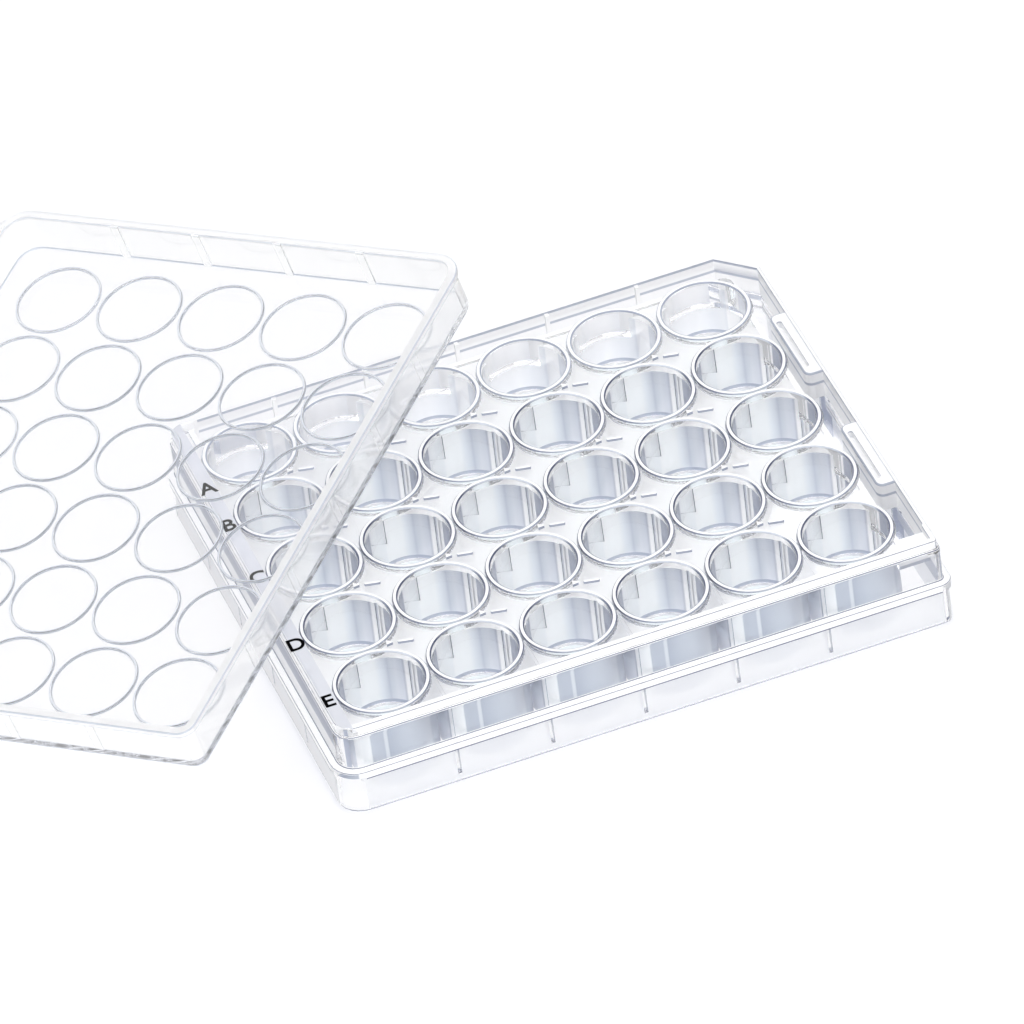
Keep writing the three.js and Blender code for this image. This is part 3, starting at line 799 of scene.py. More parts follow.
def well_lands(plan):
    """A wedge-shaped land and an upright flute on the back of each well that has one behind it."""
    s = plan.s
    made = []
    radius = plan.rim_radius
    left_reach, right_reach = radius + s.land_proud / 2, radius + s.land_proud
    left = Vector((left_reach * math.sin(LAND_LEFT), left_reach * math.cos(LAND_LEFT)))
    right = Vector((right_reach * math.sin(LAND_RIGHT), right_reach * math.cos(LAND_RIGHT)))
    along = (right - left).normalized()
    foot = plan.well_bottom - s.foot_ring + s.foot_round
    top = plan.deck_under + JOIN
    for row in range(1, s.rows):
        for column in range(s.columns):
            x, y = -plan.half_x + column * plan.pitch, plan.row(row)
            land = slab("land", (-s.land_wide, -LAND_BACK, plan.deck_under - s.land_deep), (0, 0, top))
            pick(land, 'verts', lambda v: v.co.x < -s.land_wide / 2 and v.co.z < plan.deck_under)
            bpy.ops.transform.translate(value=(0, 0, s.land_rise))
            set_down(close(land), x + right.x, y + right.y, math.atan2(along.y, along.x))
            made.append(land)
            flute = close(slab(
                "flute", (-s.flute_wide / 2, radius - JOIN, foot),
                (s.flute_wide / 2, radius + s.flute_proud, top),
            ))
            set_down(flute, x, y, -FLUTE_TURN)
            made.append(flute)
    return made


def set_down(obj, x, y, turn):
    """Turns the object about Z at its origin and puts it at x, y."""
    activate(obj)
    obj.rotation_euler = (0, 0, turn)
    obj.location = (x, y, 0)
    settle()


def well_bores(plan):
    s = plan.s
    mouth, foot = s.bore / 2, s.bore / 2 - s.draft
    r = s.rim_round
    rings = arc(foot - s.fillet, plan.floor_top + s.fillet, s.fillet, -90, 0, 6)
    rings += [(mouth + r - r * math.cos(math.radians(a)), plan.rim_top - r + r * math.sin(math.radians(a)))
              for a in range(0, 91, 22)]
    rings += [(mouth + r, plan.rim_top), (mouth + r, plan.rim_top + PAST)]
    return copies(turn_form("bore", rings), grid(plan))


def mould_plate(plan):
    s = plan.s
    body = plate_shell(plan)
    tray = channel_form(plan, s.channel_shell, plan.channel_floor - s.channel_shell, plan.deck_top)
    channel = channel_form(plan, 0, plan.channel_floor, s.height + PAST)
    combine(body, 'UNION', tray)
    combine(body, 'DIFFERENCE', channel)
    combine(body, 'UNION', *pads(plan), *ribs(plan), *deck_bars(plan))
    combine(body, 'UNION', well_outsides(plan, 0), well_outsides(plan, 1), *well_lands(plan))
    combine(body, 'DIFFERENCE', well_bores(plan), well_undersides(plan))
    smooth(body)
    body.location = plan.place()
    return body


# ---------------------------------------------------------------- the lid
def mould_lid(plan, s):
    """The lid as it lies when closed, its panel's outer face at z = 0 and its rim below."""
    plate = plan.s
    inside, outside = s.clearance, s.clearance + s.wall
    height = plate.height - plate.ledge - s.seat_gap + s.panel
    edge = plate.edge
    rim = -height
    body = outline("lid", plan, outside + s.flange, rim + edge, rim + s.flange_height - edge)
    raise_face(quarter(edge, 4))
    raise_face([(s.flange - edge, 0), (0, height - s.flange_height - s.bevel)])
    raise_face(quarter(s.bevel, 5))
    pick(body, 'faces', lambda f: abs(f.calc_center_median().z - rim - edge) < FOUND)
    raise_face(quarter(edge, 4))
    close(body)
    hollow = outline("hollow", plan, inside, rim - PAST, -s.panel - edge)
    raise_face(quarter(edge, 4))
    combine(body, 'DIFFERENCE', close(hollow))

    half = s.rib_width / 2
    low, high = rim + edge, -s.panel + JOIN
    forms = []
    for x in plan.column_gaps:
        for face, out in ((plan.back + inside, 1), (plan.front - inside, -1)):
            y0, y1 = sorted((face - out * s.rib_depth, face + out * JOIN))
            forms.append(close(slab("lid rib", (x - half, y0, low), (x + half, y1, high))))
    for y in plan.row_gaps:
        for face, out in ((plan.right + inside, 1), (plan.left - inside, -1)):
            x0, x1 = sorted((face - out * s.rib_depth, face + out * JOIN))
            forms.append(close(slab("lid rib", (x0, y - half, low), (x1, y + half, high))))

    outer = plan.rim_radius - s.ring_inset
    middle, bulge = outer - s.ring_width / 2, s.ring_width / 2
    top = -s.panel
    drop = s.ring_height / bulge
    side = [(bulge * math.cos(a), top - drop * bulge * math.sin(a))
            for a in (math.radians(degrees) for degrees in (90, 68, 45, 22, 0))]
    disc = turn_form("ring", [(middle + r, z) for r, z in side + [(bulge, top + JOIN)]], RING_STEPS)
    core = turn_form("core", [(middle, top - s.ring_height - PAST)] + [
        (middle - r, z) for r, z in side + [(bulge, top + JOIN + PAST)]
    ], RING_STEPS)
    ring = combine(disc, 'DIFFERENCE', core)
    forms.append(copies(ring, grid(plan)))
    combine(body, 'UNION', *forms)
    close(body, turn_out=False)
    smooth(body)
    return body


def lean(plan, s):
    """How the lid lies: open side up, turned in plan, tipped about the plate's left top edge."""
    plate = plan.s
    centre = Vector(((plan.left + plan.right) / 2, (plan.front + plan.back) / 2, 0))
    flip = Matrix.Rotation(math.pi, 4, 'X') @ Matrix.Translation(-centre)
    turn = Matrix.Translation((-s.lean_out, centre.y + s.lean_back, 0)) @ Matrix.Rotation(s.yaw, 4, 'Z')
    foot = s.clearance + s.wall - s.bevel
    corner = Vector((plan.right + foot, plan.back + foot - plate.key - foot * KEY_GROWTH, 0))
    twin = Vector((corner.x - plate.key - foot * KEY_GROWTH, plan.back + foot, 0))
    reach = max(-(turn @ flip @ c).x for c in (corner, twin))
    tip = math.asin(plate.height / reach)
    pivot = Vector((plan.left + plate.band_inset, 0, plate.height + s.rest_gap))
    return (
        Matrix.Translation(plan.place()) @ Matrix.Translation(pivot)
        @ Matrix.Rotation(-tip, 4, 'Y') @ turn @ flip
    )


# ---------------------------------------------------------------- materials
def add_node(tree, kind, settings=None, links=None):
    """Adds a shader node with its settings, and links its sockets from other nodes' outputs."""
    node = tree.nodes.new(kind)
    for name, value in (settings or {}).items():
        if isinstance(name, int) or name in node.inputs:
            node.inputs[name].default_value = value
        else:
            setattr(node, name, value)
    for name, source in (links or {}).items():
        tree.links.new(source, node.inputs[name])
    return node


def new_material(name):
    material = bpy.data.materials.new(name)
    material.use_nodes = True
    material.node_tree.nodes.clear()
    return material, material.node_tree


def polystyrene(name, colour, roughness, clearness=1.0):
    """Clear polystyrene, seen through with hard bright edges, and let through by the lamps.

    Where the mould is textured or the plastic ends in a narrow edge, part of the light is
    scattered in its colour and only the clear share goes through. The grey and dark colours
    of the edges, stripes and bands are painted shade.
    """
    if name in bpy.data.materials:
        return bpy.data.materials[name]
    material, tree = new_material(name)
    body = add_node(tree, 'ShaderNodeBsdfPrincipled', {
        'Base Color': (*colour, 1),
        'Roughness': roughness,
        'IOR': IOR,
        'Transmission Weight': clearness,
    })
    clear = add_node(tree, 'ShaderNodeBsdfTransparent', {'Color': SHADOW})
    path = add_node(tree, 'ShaderNodeLightPath')
    mix = add_node(tree, 'ShaderNodeMixShader', links={
        0: path.outputs['Is Shadow Ray'], 1: body.outputs[0], 2: clear.outputs[0],
    })
    add_node(tree, 'ShaderNodeOutputMaterial', links={'Surface': mix.outputs[0]})
    return material


def shade_by(tree, number, shades):
    """The colour that (number from 0 to 1, sRGB hex colour) shades give for a number."""
    node = add_node(tree, 'ShaderNodeValToRGB', links={'Fac': number})
    points = node.color_ramp.elements
    while len(points) < len(shades):
        points.new(0.5)
    for index, (position, _) in enumerate(shades):
        points[index].position = position
    for point, (_, hex_colour) in zip(points, shades):
        point.color = (*linear(hex_colour), 1)
    return node.outputs[0]


def well_turn(tree, plan):
    """The share of a turn about the nearest well's own axis, and the well's row from the front.

    The share runs clockwise from the front, so that the back is at 0.5.
    """
    place = plan.place()
    coordinates = add_node(tree, 'ShaderNodeTexCoord')
    cells = add_node(tree, 'ShaderNodeMapping', {
        'Location': (
            0.5 - (place.x - plan.half_x) / plan.pitch, 0.5 - (place.y - plan.half_y) / plan.pitch, 0),
        'Scale': (1 / plan.pitch, 1 / plan.pitch, 1),
    }, {'Vector': coordinates.outputs['Object']})
    inside = add_node(tree, 'ShaderNodeVectorMath', {'operation': 'FRACTION'}, {'Vector': cells.outputs[0]})
    parts = add_node(tree, 'ShaderNodeSeparateXYZ', links={'Vector': inside.outputs[0]})
    across, along = (
        add_node(tree, 'ShaderNodeMath', {'operation': 'SUBTRACT', 1: 0.5}, {0: parts.outputs[axis]})
        for axis in 'XY'
    )
    turn = add_node(
        tree, 'ShaderNodeMath', {'operation': 'ARCTAN2'}, {0: across.outputs[0], 1: along.outputs[0]})
    share = add_node(
        tree, 'ShaderNodeMath', {'operation': 'MULTIPLY_ADD', 1: 1 / (2 * math.pi), 2: 0.5},
        {0: turn.outputs[0]},
    )
    rows = add_node(tree, 'ShaderNodeSeparateXYZ', links={'Vector': cells.outputs[0]})
    return share.outputs[0], rows.outputs['Y']


def by_turn(shades, start=0.5):
    """Shades by degrees as shades by the share of a turn, with 0 degrees at the start."""
    return [(start + angle / 360, hex_colour) for angle, hex_colour in shades]


def body_colour(tree, output):
    """Colours the plastic with the given output."""
    body = next(node for node in tree.nodes if node.type == 'BSDF_PRINCIPLED')
    tree.links.new(output, body.inputs['Base Color'])


def shade_wells(material, plan):
    """Paints shade on the wells' outsides by the turn about each well's own axis."""
    tree = material.node_tree
    turned, row = well_turn(tree, plan)
    last = add_node(tree, 'ShaderNodeMath', {'operation': 'GREATER_THAN', 1: plan.s.rows - 1.0}, {0: row})
    nearest = add_node(tree, 'ShaderNodeMath', {'operation': 'LESS_THAN', 1: 1.0}, {0: row})
    back = add_node(tree, 'ShaderNodeMix', {'data_type': 'RGBA'}, {
        0: last.outputs[0],
        6: shade_by(tree, turned, by_turn(PAINTED_WELL_SHADE)),
        7: shade_by(tree, turned, by_turn(PAINTED_BACK_ROW_SHADE)),
    })
    half_turn = add_node(tree, 'ShaderNodeMath', {'operation': 'ADD', 1: 0.5}, {0: turned})
    from_back = add_node(tree, 'ShaderNodeMath', {'operation': 'FRACT'}, {0: half_turn.outputs[0]})
    both = add_node(tree, 'ShaderNodeMix', {'data_type': 'RGBA', 'blend_type': 'MULTIPLY'}, {
        0: nearest.outputs[0],
        6: back.outputs[2],
        7: shade_by(tree, from_back.outputs[0], by_turn(PAINTED_FRONT_ROW_SHADE, 0)),
    })
    body_colour(tree, both.outputs[2])


def shade_rims(material, plan):
    """Paints shade on the rims' edges, dark where they are seen along the wells' walls."""
    turned, _ = well_turn(material.node_tree, plan)
    body_colour(material.node_tree, shade_by(material.node_tree, turned, by_turn(PAINTED_RIM_SHADE)))


def shade_along(material, axis, start, reach, shades):
    """Paints shade on a face by its place along an axis, from the start, 0, over the reach, 1."""
    tree = material.node_tree
    coordinates = add_node(tree, 'ShaderNodeTexCoord')
    parts = add_node(tree, 'ShaderNodeSeparateXYZ', links={'Vector': coordinates.outputs['Object']})
    share = add_node(
        tree, 'ShaderNodeMath', {'operation': 'MULTIPLY_ADD', 1: 1 / reach, 2: -start / reach},
        {0: parts.outputs[axis]},
    )
    body_colour(tree, shade_by(tree, share.outputs[0], shades))


def printing_ink(finishes):
    """Pad-printed ink: a thin matt black film."""
    material, tree = new_material("printing_ink")
    body = add_node(tree, 'ShaderNodeBsdfPrincipled', {
        'Base Color': (*finishes.ink, 1),
        'Roughness': INK_ROUGHNESS,
        'Specular IOR Level': 0.0,
    })
    add_node(tree, 'ShaderNodeOutputMaterial', links={'Surface': body.outputs[0]})
    return material


# ---------------------------------------------------------------- operators
class MouldPlate(bpy.types.Operator):
    """Moulds the plate: walls, deck, wells, channel, pads and ribs"""
    bl_idname = "well_plate.mould_plate"
    bl_label = "Mould the plate"

    def execute(self, context):
        scene = context.scene
        plan = Plan(scene.plate_sizes)
        finishes = scene.plate_finishes
        body = mould_plate(plan)
        clear = polystyrene("polished_polystyrene", finishes.plastic, finishes.gloss)
        finish(body, "plate_moulding", clear, "clear_polystyrene", "plate")
        self.texture(body, plan, finishes)
        return {'FINISHED'}

    def texture(self, body, plan, finishes):
        """Where the mould is textured, and where the plastic ends in a narrow edge; edges, wells' outsides
        and some walls get painted shade.
        """
        s = plan.s
        origin = plan.place()
        inset = s.skirt_wall - plan.skirt_offset

        def satin(name, colour, clear):
            return polystyrene(name, colour, finishes.satin_gloss, clear)

        kinds = {
            # Spark-eroded well outsides: upright grey stripes of painted shade, seen soft through the bores.
            "well": satin("satin_polystyrene", finishes.satin, finishes.satin_clear),
            # Fine-blasted flats: a milky white that hides what lies below the deck.
            "frost": polystyrene(
                "frosted_polystyrene", finishes.frost, finishes.frost_gloss, finishes.frost_clear),
            # Rounded lips of the wells: thin dark rings of painted shade, darkest at the left.
            "rim": satin("rim_polystyrene", finishes.edge, finishes.edge_clear),
            # Flat tops of the lips: a white ring between the dark ones.
            "top": satin("rim_top_polystyrene", finishes.frost, finishes.edge_clear),
            # Sharp edges of the ledge and the foot: a crisp dark outline of painted shade.
            "painted dark line": satin("edge_polystyrene", finishes.painted_dark_line, finishes.edge_clear),
            # Softer edges and the ribs' sides: a pale grey line of painted shade.
            "line": satin("soft_edge_polystyrene", finishes.line, finishes.line_clear),
            # Lips of the back row, with only the wall behind them: a lighter ring of painted shade.
            "pale rim": satin("pale_rim_polystyrene", finishes.bar, finishes.edge_clear),
            # Sides of the raised bars: short grey dashes of painted shade on the deck.
            "bar": satin("bar_polystyrene", finishes.bar, finishes.edge_clear),
            # Edges of the lands: a fine dark right angle of painted shade inside each bore.
            "land edge": satin("land_edge_polystyrene", finishes.edge, finishes.edge_clear),
            # Polished left wall: a dark stripe of painted shade along the top, clear below.
            "left wall": satin("left_wall_polystyrene", finishes.frost, finishes.frost_clear),
            # The channel's outer wall: two thin grey lines of painted shade in clear plastic.
            "painted channel wall": satin("channel_polystyrene", finishes.frost, CHANNEL_CLEAR),
            # Matt strip that takes the print: a cool pale grey ground of painted shade for the letters.
            "label": satin("label_polystyrene", finishes.frost, finishes.skirt_clear),
            # Blasted well floors: a faint cool tint at the bottom of each bore.
            "floor": satin("floor_polystyrene", finishes.floor, finishes.frost_clear),
            # Inside of the skirt: a nearly white veil behind the front.
            "skirt": satin("skirt_polystyrene", finishes.skirt, finishes.skirt_clear),
            # Level tops and the inset band, which catch the lamps: plain white.
            "band": satin("band_polystyrene", finishes.frost, finishes.skirt_clear),
        }
        shade_wells(kinds["well"], plan)
        shade_rims(kinds["rim"], plan)
        shade_along(kinds["left wall"], 'Z', 0, s.height, PAINTED_LEFT_WALL_SHADE)
        shade_along(kinds["painted channel wall"], 'Z', 0, s.height, PAINTED_CHANNEL_SHADE)
        label_width = plan.label_edge - plan.left - s.band_inset
        shade_along(
            kinds["label"], 'X', origin.x + plan.left + s.band_inset, LABEL_REACH * label_width, PAINTED_LABEL_SHADE)

        def kind_of(centre, normal):
            place = centre - origin
            column = min(max(round((place.x + plan.half_x) / plan.pitch), 0), s.columns - 1)
            row = min(max(round((plan.half_y - place.y) / plan.pitch), 0), s.rows - 1)
            local = Vector((place.x + plan.half_x - column * plan.pitch, place.y - plan.row(row)))
            reach = local.length
            z = place.z
            tilted = UPRIGHT < abs(normal.z) < LEVEL
            if normal.z > LEVEL and abs(z - s.height) < NEAR:
                return "label"
            if reach < plan.rim_radius + RIM_MARGIN:
                kind = well_kind(local, reach, z, normal, tilted)
                return "pale rim" if kind == "rim" and row == 0 else kind
            if abs(place.x) < plan.half_x and abs(place.y) < plan.half_y and z > plan.deck_top + NEAR:
                return "band" if normal.z > HALF_UP else "bar"
            if in_channel(place, z):
                if abs(normal.z) < UPRIGHT:
                    outer = place.x > plan.half_x + plan.rim_radius + s.pad_clearance - NEAR
                    return "painted channel wall" if outer or beside(place) < s.upper_wall + NEAR else "frost"
                return "line" if tilted else "frost" if normal.z < 0 else "band"
            if tilted:
                return edge_kind(place, z, normal)
            if normal.z < -LEVEL and abs(z - plan.deck_under) < NEAR:
                return "frost"
            if normal.x < -FACING and abs(place.x - plan.left) < NEAR:
                return "left wall"
            if outer_band(place, z, normal):
                return "painted dark line" if z < plan.lip_under + s.edge + s.lip_line else "band"
            if normal.z < -LEVEL and z < NEAR:
                return "line"
            if front_corner(place, z, normal):
                return "line"
            if z < plan.lip_under and abs(normal.z) < UPRIGHT and skirt_inside(place, normal):
                return "skirt"
            if z < plan.deck_under and abs(normal.z) < UPRIGHT and rib_side(place, normal):
                return "line"
            return None

        def in_channel(place, z):
            if z < plan.channel_floor - s.channel_shell - NEAR or z > s.height - s.pad_drop + NEAR:
                return False
            right = plan.deck_right - s.channel_shell - NEAR
            return beside(place) > s.upper_wall - NEAR and (
                place.x > right or place.y > plan.deck_back - s.channel_shell - NEAR)

        def beside(place):
            return min(plan.right - place.x, place.x - plan.left, plan.back - place.y, place.y - plan.front)

        def outer_band(place, z, normal):
            """The ledge's top and edge, and the band at the top of the wall."""
            depth = beside(place)
            if normal.z > LEVEL and abs(z - s.ledge) < NEAR:
                return True
            if abs(normal.z) > UPRIGHT:
                return False
            if plan.lip_under < z < s.ledge and depth < NEAR - plan.ledge_width:
                return True
            return z > s.height - s.band and abs(depth - s.band_inset) < NEAR

        def front_corner(place, z, normal):
            """One narrow face of the upper wall's round at each front corner."""
            low, high = CORNER_FACET
            across = low < abs(normal.x) < high and normal.y < 0 and abs(normal.z) < UPRIGHT
            return across and z > s.ledge + s.edge and beside(place) < 2 * s.upper_wall

        def edge_kind(place, z, normal):
            if beside(place) > s.band_inset + s.edge:
                return None
            if z < s.edge:
                return "painted dark line"
            if z < plan.lip_under + s.edge:
                return None
            top = ROUND_TOP < normal.z < LEVEL
            side = ROUND_SIDE < normal.z < ROUND_TOP
            return "painted dark line" if (top if normal.y > UPRIGHT else side) else "band"

        def well_kind(local, reach, z, normal, tilted):
            outward = normal.xy.dot(local) / reach if reach > 0 else 0
            if z > plan.rim_top - s.rim_round - NEAR and tilted:
                return "rim"
            if normal.z > LEVEL and abs(z - plan.rim_top) < NEAR:
                return "top"
            if normal.z < -LEVEL and abs(z - plan.deck_under) < NEAR:
                return "frost"
            low = z < plan.floor_top + s.fillet
            if reach < s.bore / 2 and ROUND_SIDE < normal.z < ROUND_TOP and low and local.y > 0:
                return "line"
            if reach < s.bore / 2 and (
                    (normal.z < -HALF_UP and abs(z - plan.well_bottom) < s.foot_round)
                    or (normal.z > LEVEL and abs(z - plan.floor_top) < NEAR)):
                return "floor"
            if z > plan.deck_under or reach < plan.rim_radius - RIM_MARGIN / 2:
                return None
            tangent = Vector((local.y, -local.x)) / reach
            if abs(normal.xy.dot(tangent)) > ROUNDWARD:
                return "land edge"
            if normal.z < -HALF_UP and z > plan.deck_under - s.land_deep - NEAR:
                return "land edge"
            return "well" if outward > OUTWARD else None

        def skirt_inside(place, normal):
            gaps = (
                (abs(place.x - plan.left - inset), normal.x),
                (abs(place.x - plan.right + inset), -normal.x),
                (abs(place.y - plan.front - inset), normal.y),
                (abs(place.y - plan.back + inset), -normal.y),
            )
            return any(gap < NEAR and facing > FACING for gap, facing in gaps)

        def rib_side(place, normal):
            along_x = min(abs(abs(place.x - gap) - s.rib / 2) for gap in plan.column_gaps)
            along_y = min(abs(abs(place.y - gap) - s.rib / 2) for gap in plan.row_gaps)
            ends = min(plan.back - place.y, place.y - plan.front) < s.gusset_reach + s.skirt_wall
            sides = min(plan.right - place.x, place.x - plan.left) < s.gusset_reach + s.skirt_wall
            if abs(normal.x) > FACING and along_x < NEAR and ends:
                return True
            return abs(normal.y) > FACING and along_y < NEAR and sides

        paint(body, kinds, kind_of)


class MouldLid(bpy.types.Operator):
    """Moulds the lid and leans it on the plate"""
    bl_idname = "well_plate.mould_lid"
    bl_label = "Mould the lid"

    def execute(self, context):
        scene = context.scene
        plan = Plan(scene.plate_sizes)
        body = mould_lid(plan, scene.plate_lid)
        body.matrix_world = lean(plan, scene.plate_lid)
        finishes = scene.plate_finishes
        clear = polystyrene("polished_polystyrene", finishes.plastic, finishes.gloss)
        to_lid = body.matrix_world.inverted()
        finish(body, "lid_moulding", clear, "clear_polystyrene", "lid")
        self.texture(body, plan, scene.plate_lid, finishes, to_lid)
        return {'FINISHED'}

    def texture(self, body, plan, s, finishes, to_lid):
        """Paints shade on the lid's rounded edges and rings, and scatters light in its rim."""
        turn = to_lid.to_3x3()
        rim = -(plan.s.height - plan.s.ledge - s.seat_gap + s.panel)
        kinds = {
            # Rounded edges: a fine pale grey outline of painted shade round the clear lid.
            "line": polystyrene(
                "lid_edge_polystyrene", finishes.painted_lid_shade, finishes.satin_gloss, finishes.edge_clear),
            # The rim's flange: a milky band along the lid's open edge.
            "band": polystyrene(
                "lid_rim_polystyrene", finishes.frost, finishes.satin_gloss, finishes.frost_clear),
            # Walls with a trace of haze, seen through without dark streaks.
            "wall": polystyrene(
                "lid_wall_polystyrene", finishes.frost, LID_WALL_ROUGHNESS, LID_WALL_CLEAR),
            # Condensation rings: soft grey circles of painted shade on the clear panel.
            "ring": polystyrene(
                "ring_polystyrene", finishes.painted_lid_shade, finishes.satin_gloss, finishes.line_clear),
        }

        def kind_of(centre, normal):
            z = (to_lid @ centre).z
            tilt = abs((turn @ normal).z)
            if z < rim + s.flange_height + SINK:
                return "line" if UPRIGHT < tilt < LEVEL else "band"
            if abs(z + s.panel) < s.ring_height * RING_SHARE and z < -s.panel:
                return "ring" if UPRIGHT < tilt < RING_SIDE else None
            if tilt < UPRIGHT:
                return "wall"
            return "line" if tilt < LEVEL else None

        paint(body, kinds, kind_of)


class PrintLetters(bpy.types.Operator):
    """Prints a letter on the label strip beside each row"""
    bl_idname = "well_plate.print_letters"
    bl_label = "Print the row letters"

    def execute(self, context):
        scene = context.scene
        plan = Plan(scene.plate_sizes)
        origin = plan.place()
        made = []
        for number in range(plan.s.rows):
            clear_selection()
            bpy.ops.object.text_add()
            text = bpy.context.object
            text.data.body = chr(ord("A") + number)
            text.data.size = LETTER_SIZE
            text.data.align_x = 'CENTER'
            text.data.align_y = 'CENTER'
            text.data.offset = LETTER_BOLD
            text.data.extrude = INK_HALF
            bpy.ops.object.convert(target='MESH')
            x = (plan.left + plan.label_edge) / 2
            y = plan.row(number) - LETTER_DROPS[number % len(LETTER_DROPS)]
            text.location = origin + Vector((x, y, plan.s.height + INK_LIFT))
            made.append(text)
        activate(*made)
        bpy.ops.object.join()
        letters = bpy.context.object
        close(letters, turn_out=False)
        activate(letters)
        settle()
        letters.name = "row_letters"
        letters.data.materials.clear()
        letters.data.materials.append(printing_ink(scene.plate_finishes))
        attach(letters, "root")
        return {'FINISHED'}


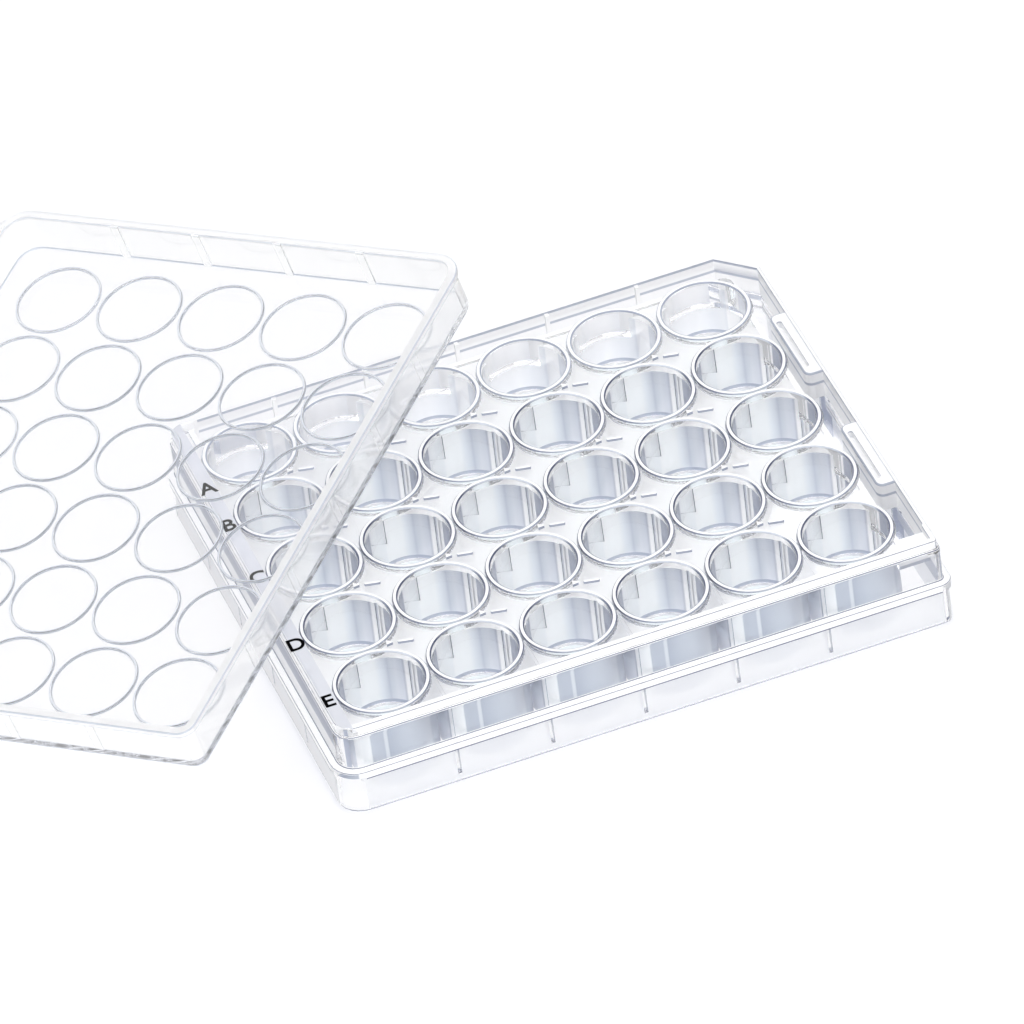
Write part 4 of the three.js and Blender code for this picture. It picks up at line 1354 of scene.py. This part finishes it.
class SetStage(bpy.types.Operator):
    """Lays the floor and sets the light and the camera"""
    bl_idname = "well_plate.set_stage"
    bl_label = "Set the stage"

    def execute(self, context):
        scene = context.scene
        settings = scene.plate_stage
        plan = Plan(scene.plate_sizes)
        self.lay_table(settings)
        self.light_world(scene, settings)
        self.hang_lamps(scene)
        self.aim_camera(scene, plan)
        scene.view_settings.view_transform = 'Standard'
        for name, value in LIGHT_PATHS.items():
            setattr(scene.cycles, name, value)
        return {'FINISHED'}

    def lay_table(self, settings):
        """A painted white table: softly shadowed where it is seen, plain white through the plastic."""
        clear_selection()
        bpy.ops.mesh.primitive_plane_add(size=TABLE_SIZE, location=(0, 0, -TABLE_DROP))
        floor = bpy.context.object
        floor.name = "floor"
        material, tree = new_material("painted_table")
        body = add_node(tree, 'ShaderNodeBsdfDiffuse', {'Color': (*settings.floor, 1)})
        glow = add_node(tree, 'ShaderNodeEmission', {'Color': (1, 1, 1, 1), 'Strength': 1.0})
        path = add_node(tree, 'ShaderNodeLightPath')
        through = add_node(tree, 'ShaderNodeMath', {'operation': 'MAXIMUM'}, {
            0: path.outputs['Is Transmission Ray'], 1: path.outputs['Is Glossy Ray'],
        })
        direct = add_node(tree, 'ShaderNodeMath', {
            'operation': 'MULTIPLY', 1: settings.camera_glow,
        }, {0: path.outputs['Is Camera Ray']})
        share = add_node(tree, 'ShaderNodeMath', {
            'operation': 'MULTIPLY_ADD', 1: settings.glow,
        }, {0: through.outputs[0], 2: direct.outputs[0]})
        both = add_node(tree, 'ShaderNodeMixShader', links={
            0: share.outputs[0], 1: body.outputs[0], 2: glow.outputs[0],
        })
        add_node(tree, 'ShaderNodeOutputMaterial', links={'Surface': both.outputs[0]})
        floor.data.materials.append(material)

    def light_world(self, scene, settings):
        """A bright studio mirrored in the plastic, grey at the horizon, with plain white behind it."""
        world = bpy.data.worlds.new("studio")
        scene.world = world
        world.use_nodes = True
        tree = world.node_tree
        tree.nodes.clear()
        place = add_node(tree, 'ShaderNodeTexCoord')
        parts = add_node(tree, 'ShaderNodeSeparateXYZ', links={'Vector': place.outputs['Generated']})
        fade = add_node(tree, 'ShaderNodeValToRGB', links={'Fac': parts.outputs['Z']})
        for point, position, shade in zip(
                fade.color_ramp.elements, (0.0, 0.5), (settings.horizon, settings.sky)):
            point.position = position
            point.color = (*shade, 1)
        path = add_node(tree, 'ShaderNodeLightPath')
        studio = add_node(
            tree, 'ShaderNodeBackground', {'Strength': STUDIO_STRENGTH}, {'Color': fade.outputs[0]})
        white = add_node(tree, 'ShaderNodeBackground', {'Color': (1, 1, 1, 1)})
        mix = add_node(tree, 'ShaderNodeMixShader', links={
            0: path.outputs['Is Camera Ray'], 1: studio.outputs[0], 2: white.outputs[0],
        })
        add_node(tree, 'ShaderNodeOutputWorld', links={'Surface': mix.outputs[0]})

    def hang_lamps(self, scene):
        for name, place, size, power in LAMPS:
            lamp = bpy.data.lights.new(name, 'AREA')
            lamp.size = size
            lamp.energy = power
            obj = bpy.data.objects.new(name, lamp)
            obj.location = place
            obj.rotation_euler = (-Vector(place)).to_track_quat('-Z', 'Y').to_euler()
            scene.collection.objects.link(obj)

    def aim_camera(self, scene, plan):
        back = Vector((
            math.sin(CAMERA_TURN) * math.cos(CAMERA_RISE),
            -math.cos(CAMERA_TURN) * math.cos(CAMERA_RISE),
            math.sin(CAMERA_RISE),
        ))
        level = (-back).cross(Vector((0, 0, 1))).normalized()
        upright = (-back).cross(level)
        right = level * math.cos(CAMERA_ROLL) + upright * math.sin(CAMERA_ROLL)
        down = upright * math.cos(CAMERA_ROLL) - level * math.sin(CAMERA_ROLL)
        aim = plan.place() + Vector((0, 0, plan.rim_top))
        aside = right * (CAMERA_ACROSS * plan.pitch) + down * (CAMERA_DROP * plan.pitch)
        data = bpy.data.cameras.new("camera")
        data.lens = CAMERA_LENS
        data.clip_end = CAMERA_REACH
        camera = bpy.data.objects.new("camera", data)
        axes = Matrix((right, -down, back)).transposed().to_4x4()
        camera.matrix_world = Matrix.Translation(aim + back * (CAMERA_DISTANCE * plan.pitch) - aside) @ axes
        scene.collection.objects.link(camera)
        scene.camera = camera


class WellPlatePanel(bpy.types.Panel):
    """Steps that make the plate"""
    bl_idname = "VIEW3D_PT_well_plate"
    bl_label = "Well plate"
    bl_space_type = 'VIEW_3D'
    bl_region_type = 'UI'
    bl_category = "Well plate"

    def draw(self, context):
        for step in STEPS:
            self.layout.operator(step.bl_idname)


STEPS = (MouldPlate, MouldLid, PrintLetters, SetStage)
GROUPS = (PlateSizes, LidSizes, Finishes, StageSettings)
CLASSES = GROUPS + STEPS + (WellPlatePanel,)


def register():
    for cls in CLASSES:
        bpy.utils.register_class(cls)
    bpy.types.Scene.plate_sizes = bpy.props.PointerProperty(type=PlateSizes)
    bpy.types.Scene.plate_lid = bpy.props.PointerProperty(type=LidSizes)
    bpy.types.Scene.plate_finishes = bpy.props.PointerProperty(type=Finishes)
    bpy.types.Scene.plate_stage = bpy.props.PointerProperty(type=StageSettings)


def unregister():
    for name in ("plate_sizes", "plate_lid", "plate_finishes", "plate_stage"):
        delattr(bpy.types.Scene, name)
    for cls in reversed(CLASSES):
        bpy.utils.unregister_class(cls)


def main():
    register()
    bpy.ops.well_plate.mould_plate()
    bpy.ops.well_plate.mould_lid()
    bpy.ops.well_plate.print_letters()
    bpy.ops.well_plate.set_stage()


if __name__ == "__main__":
    main()
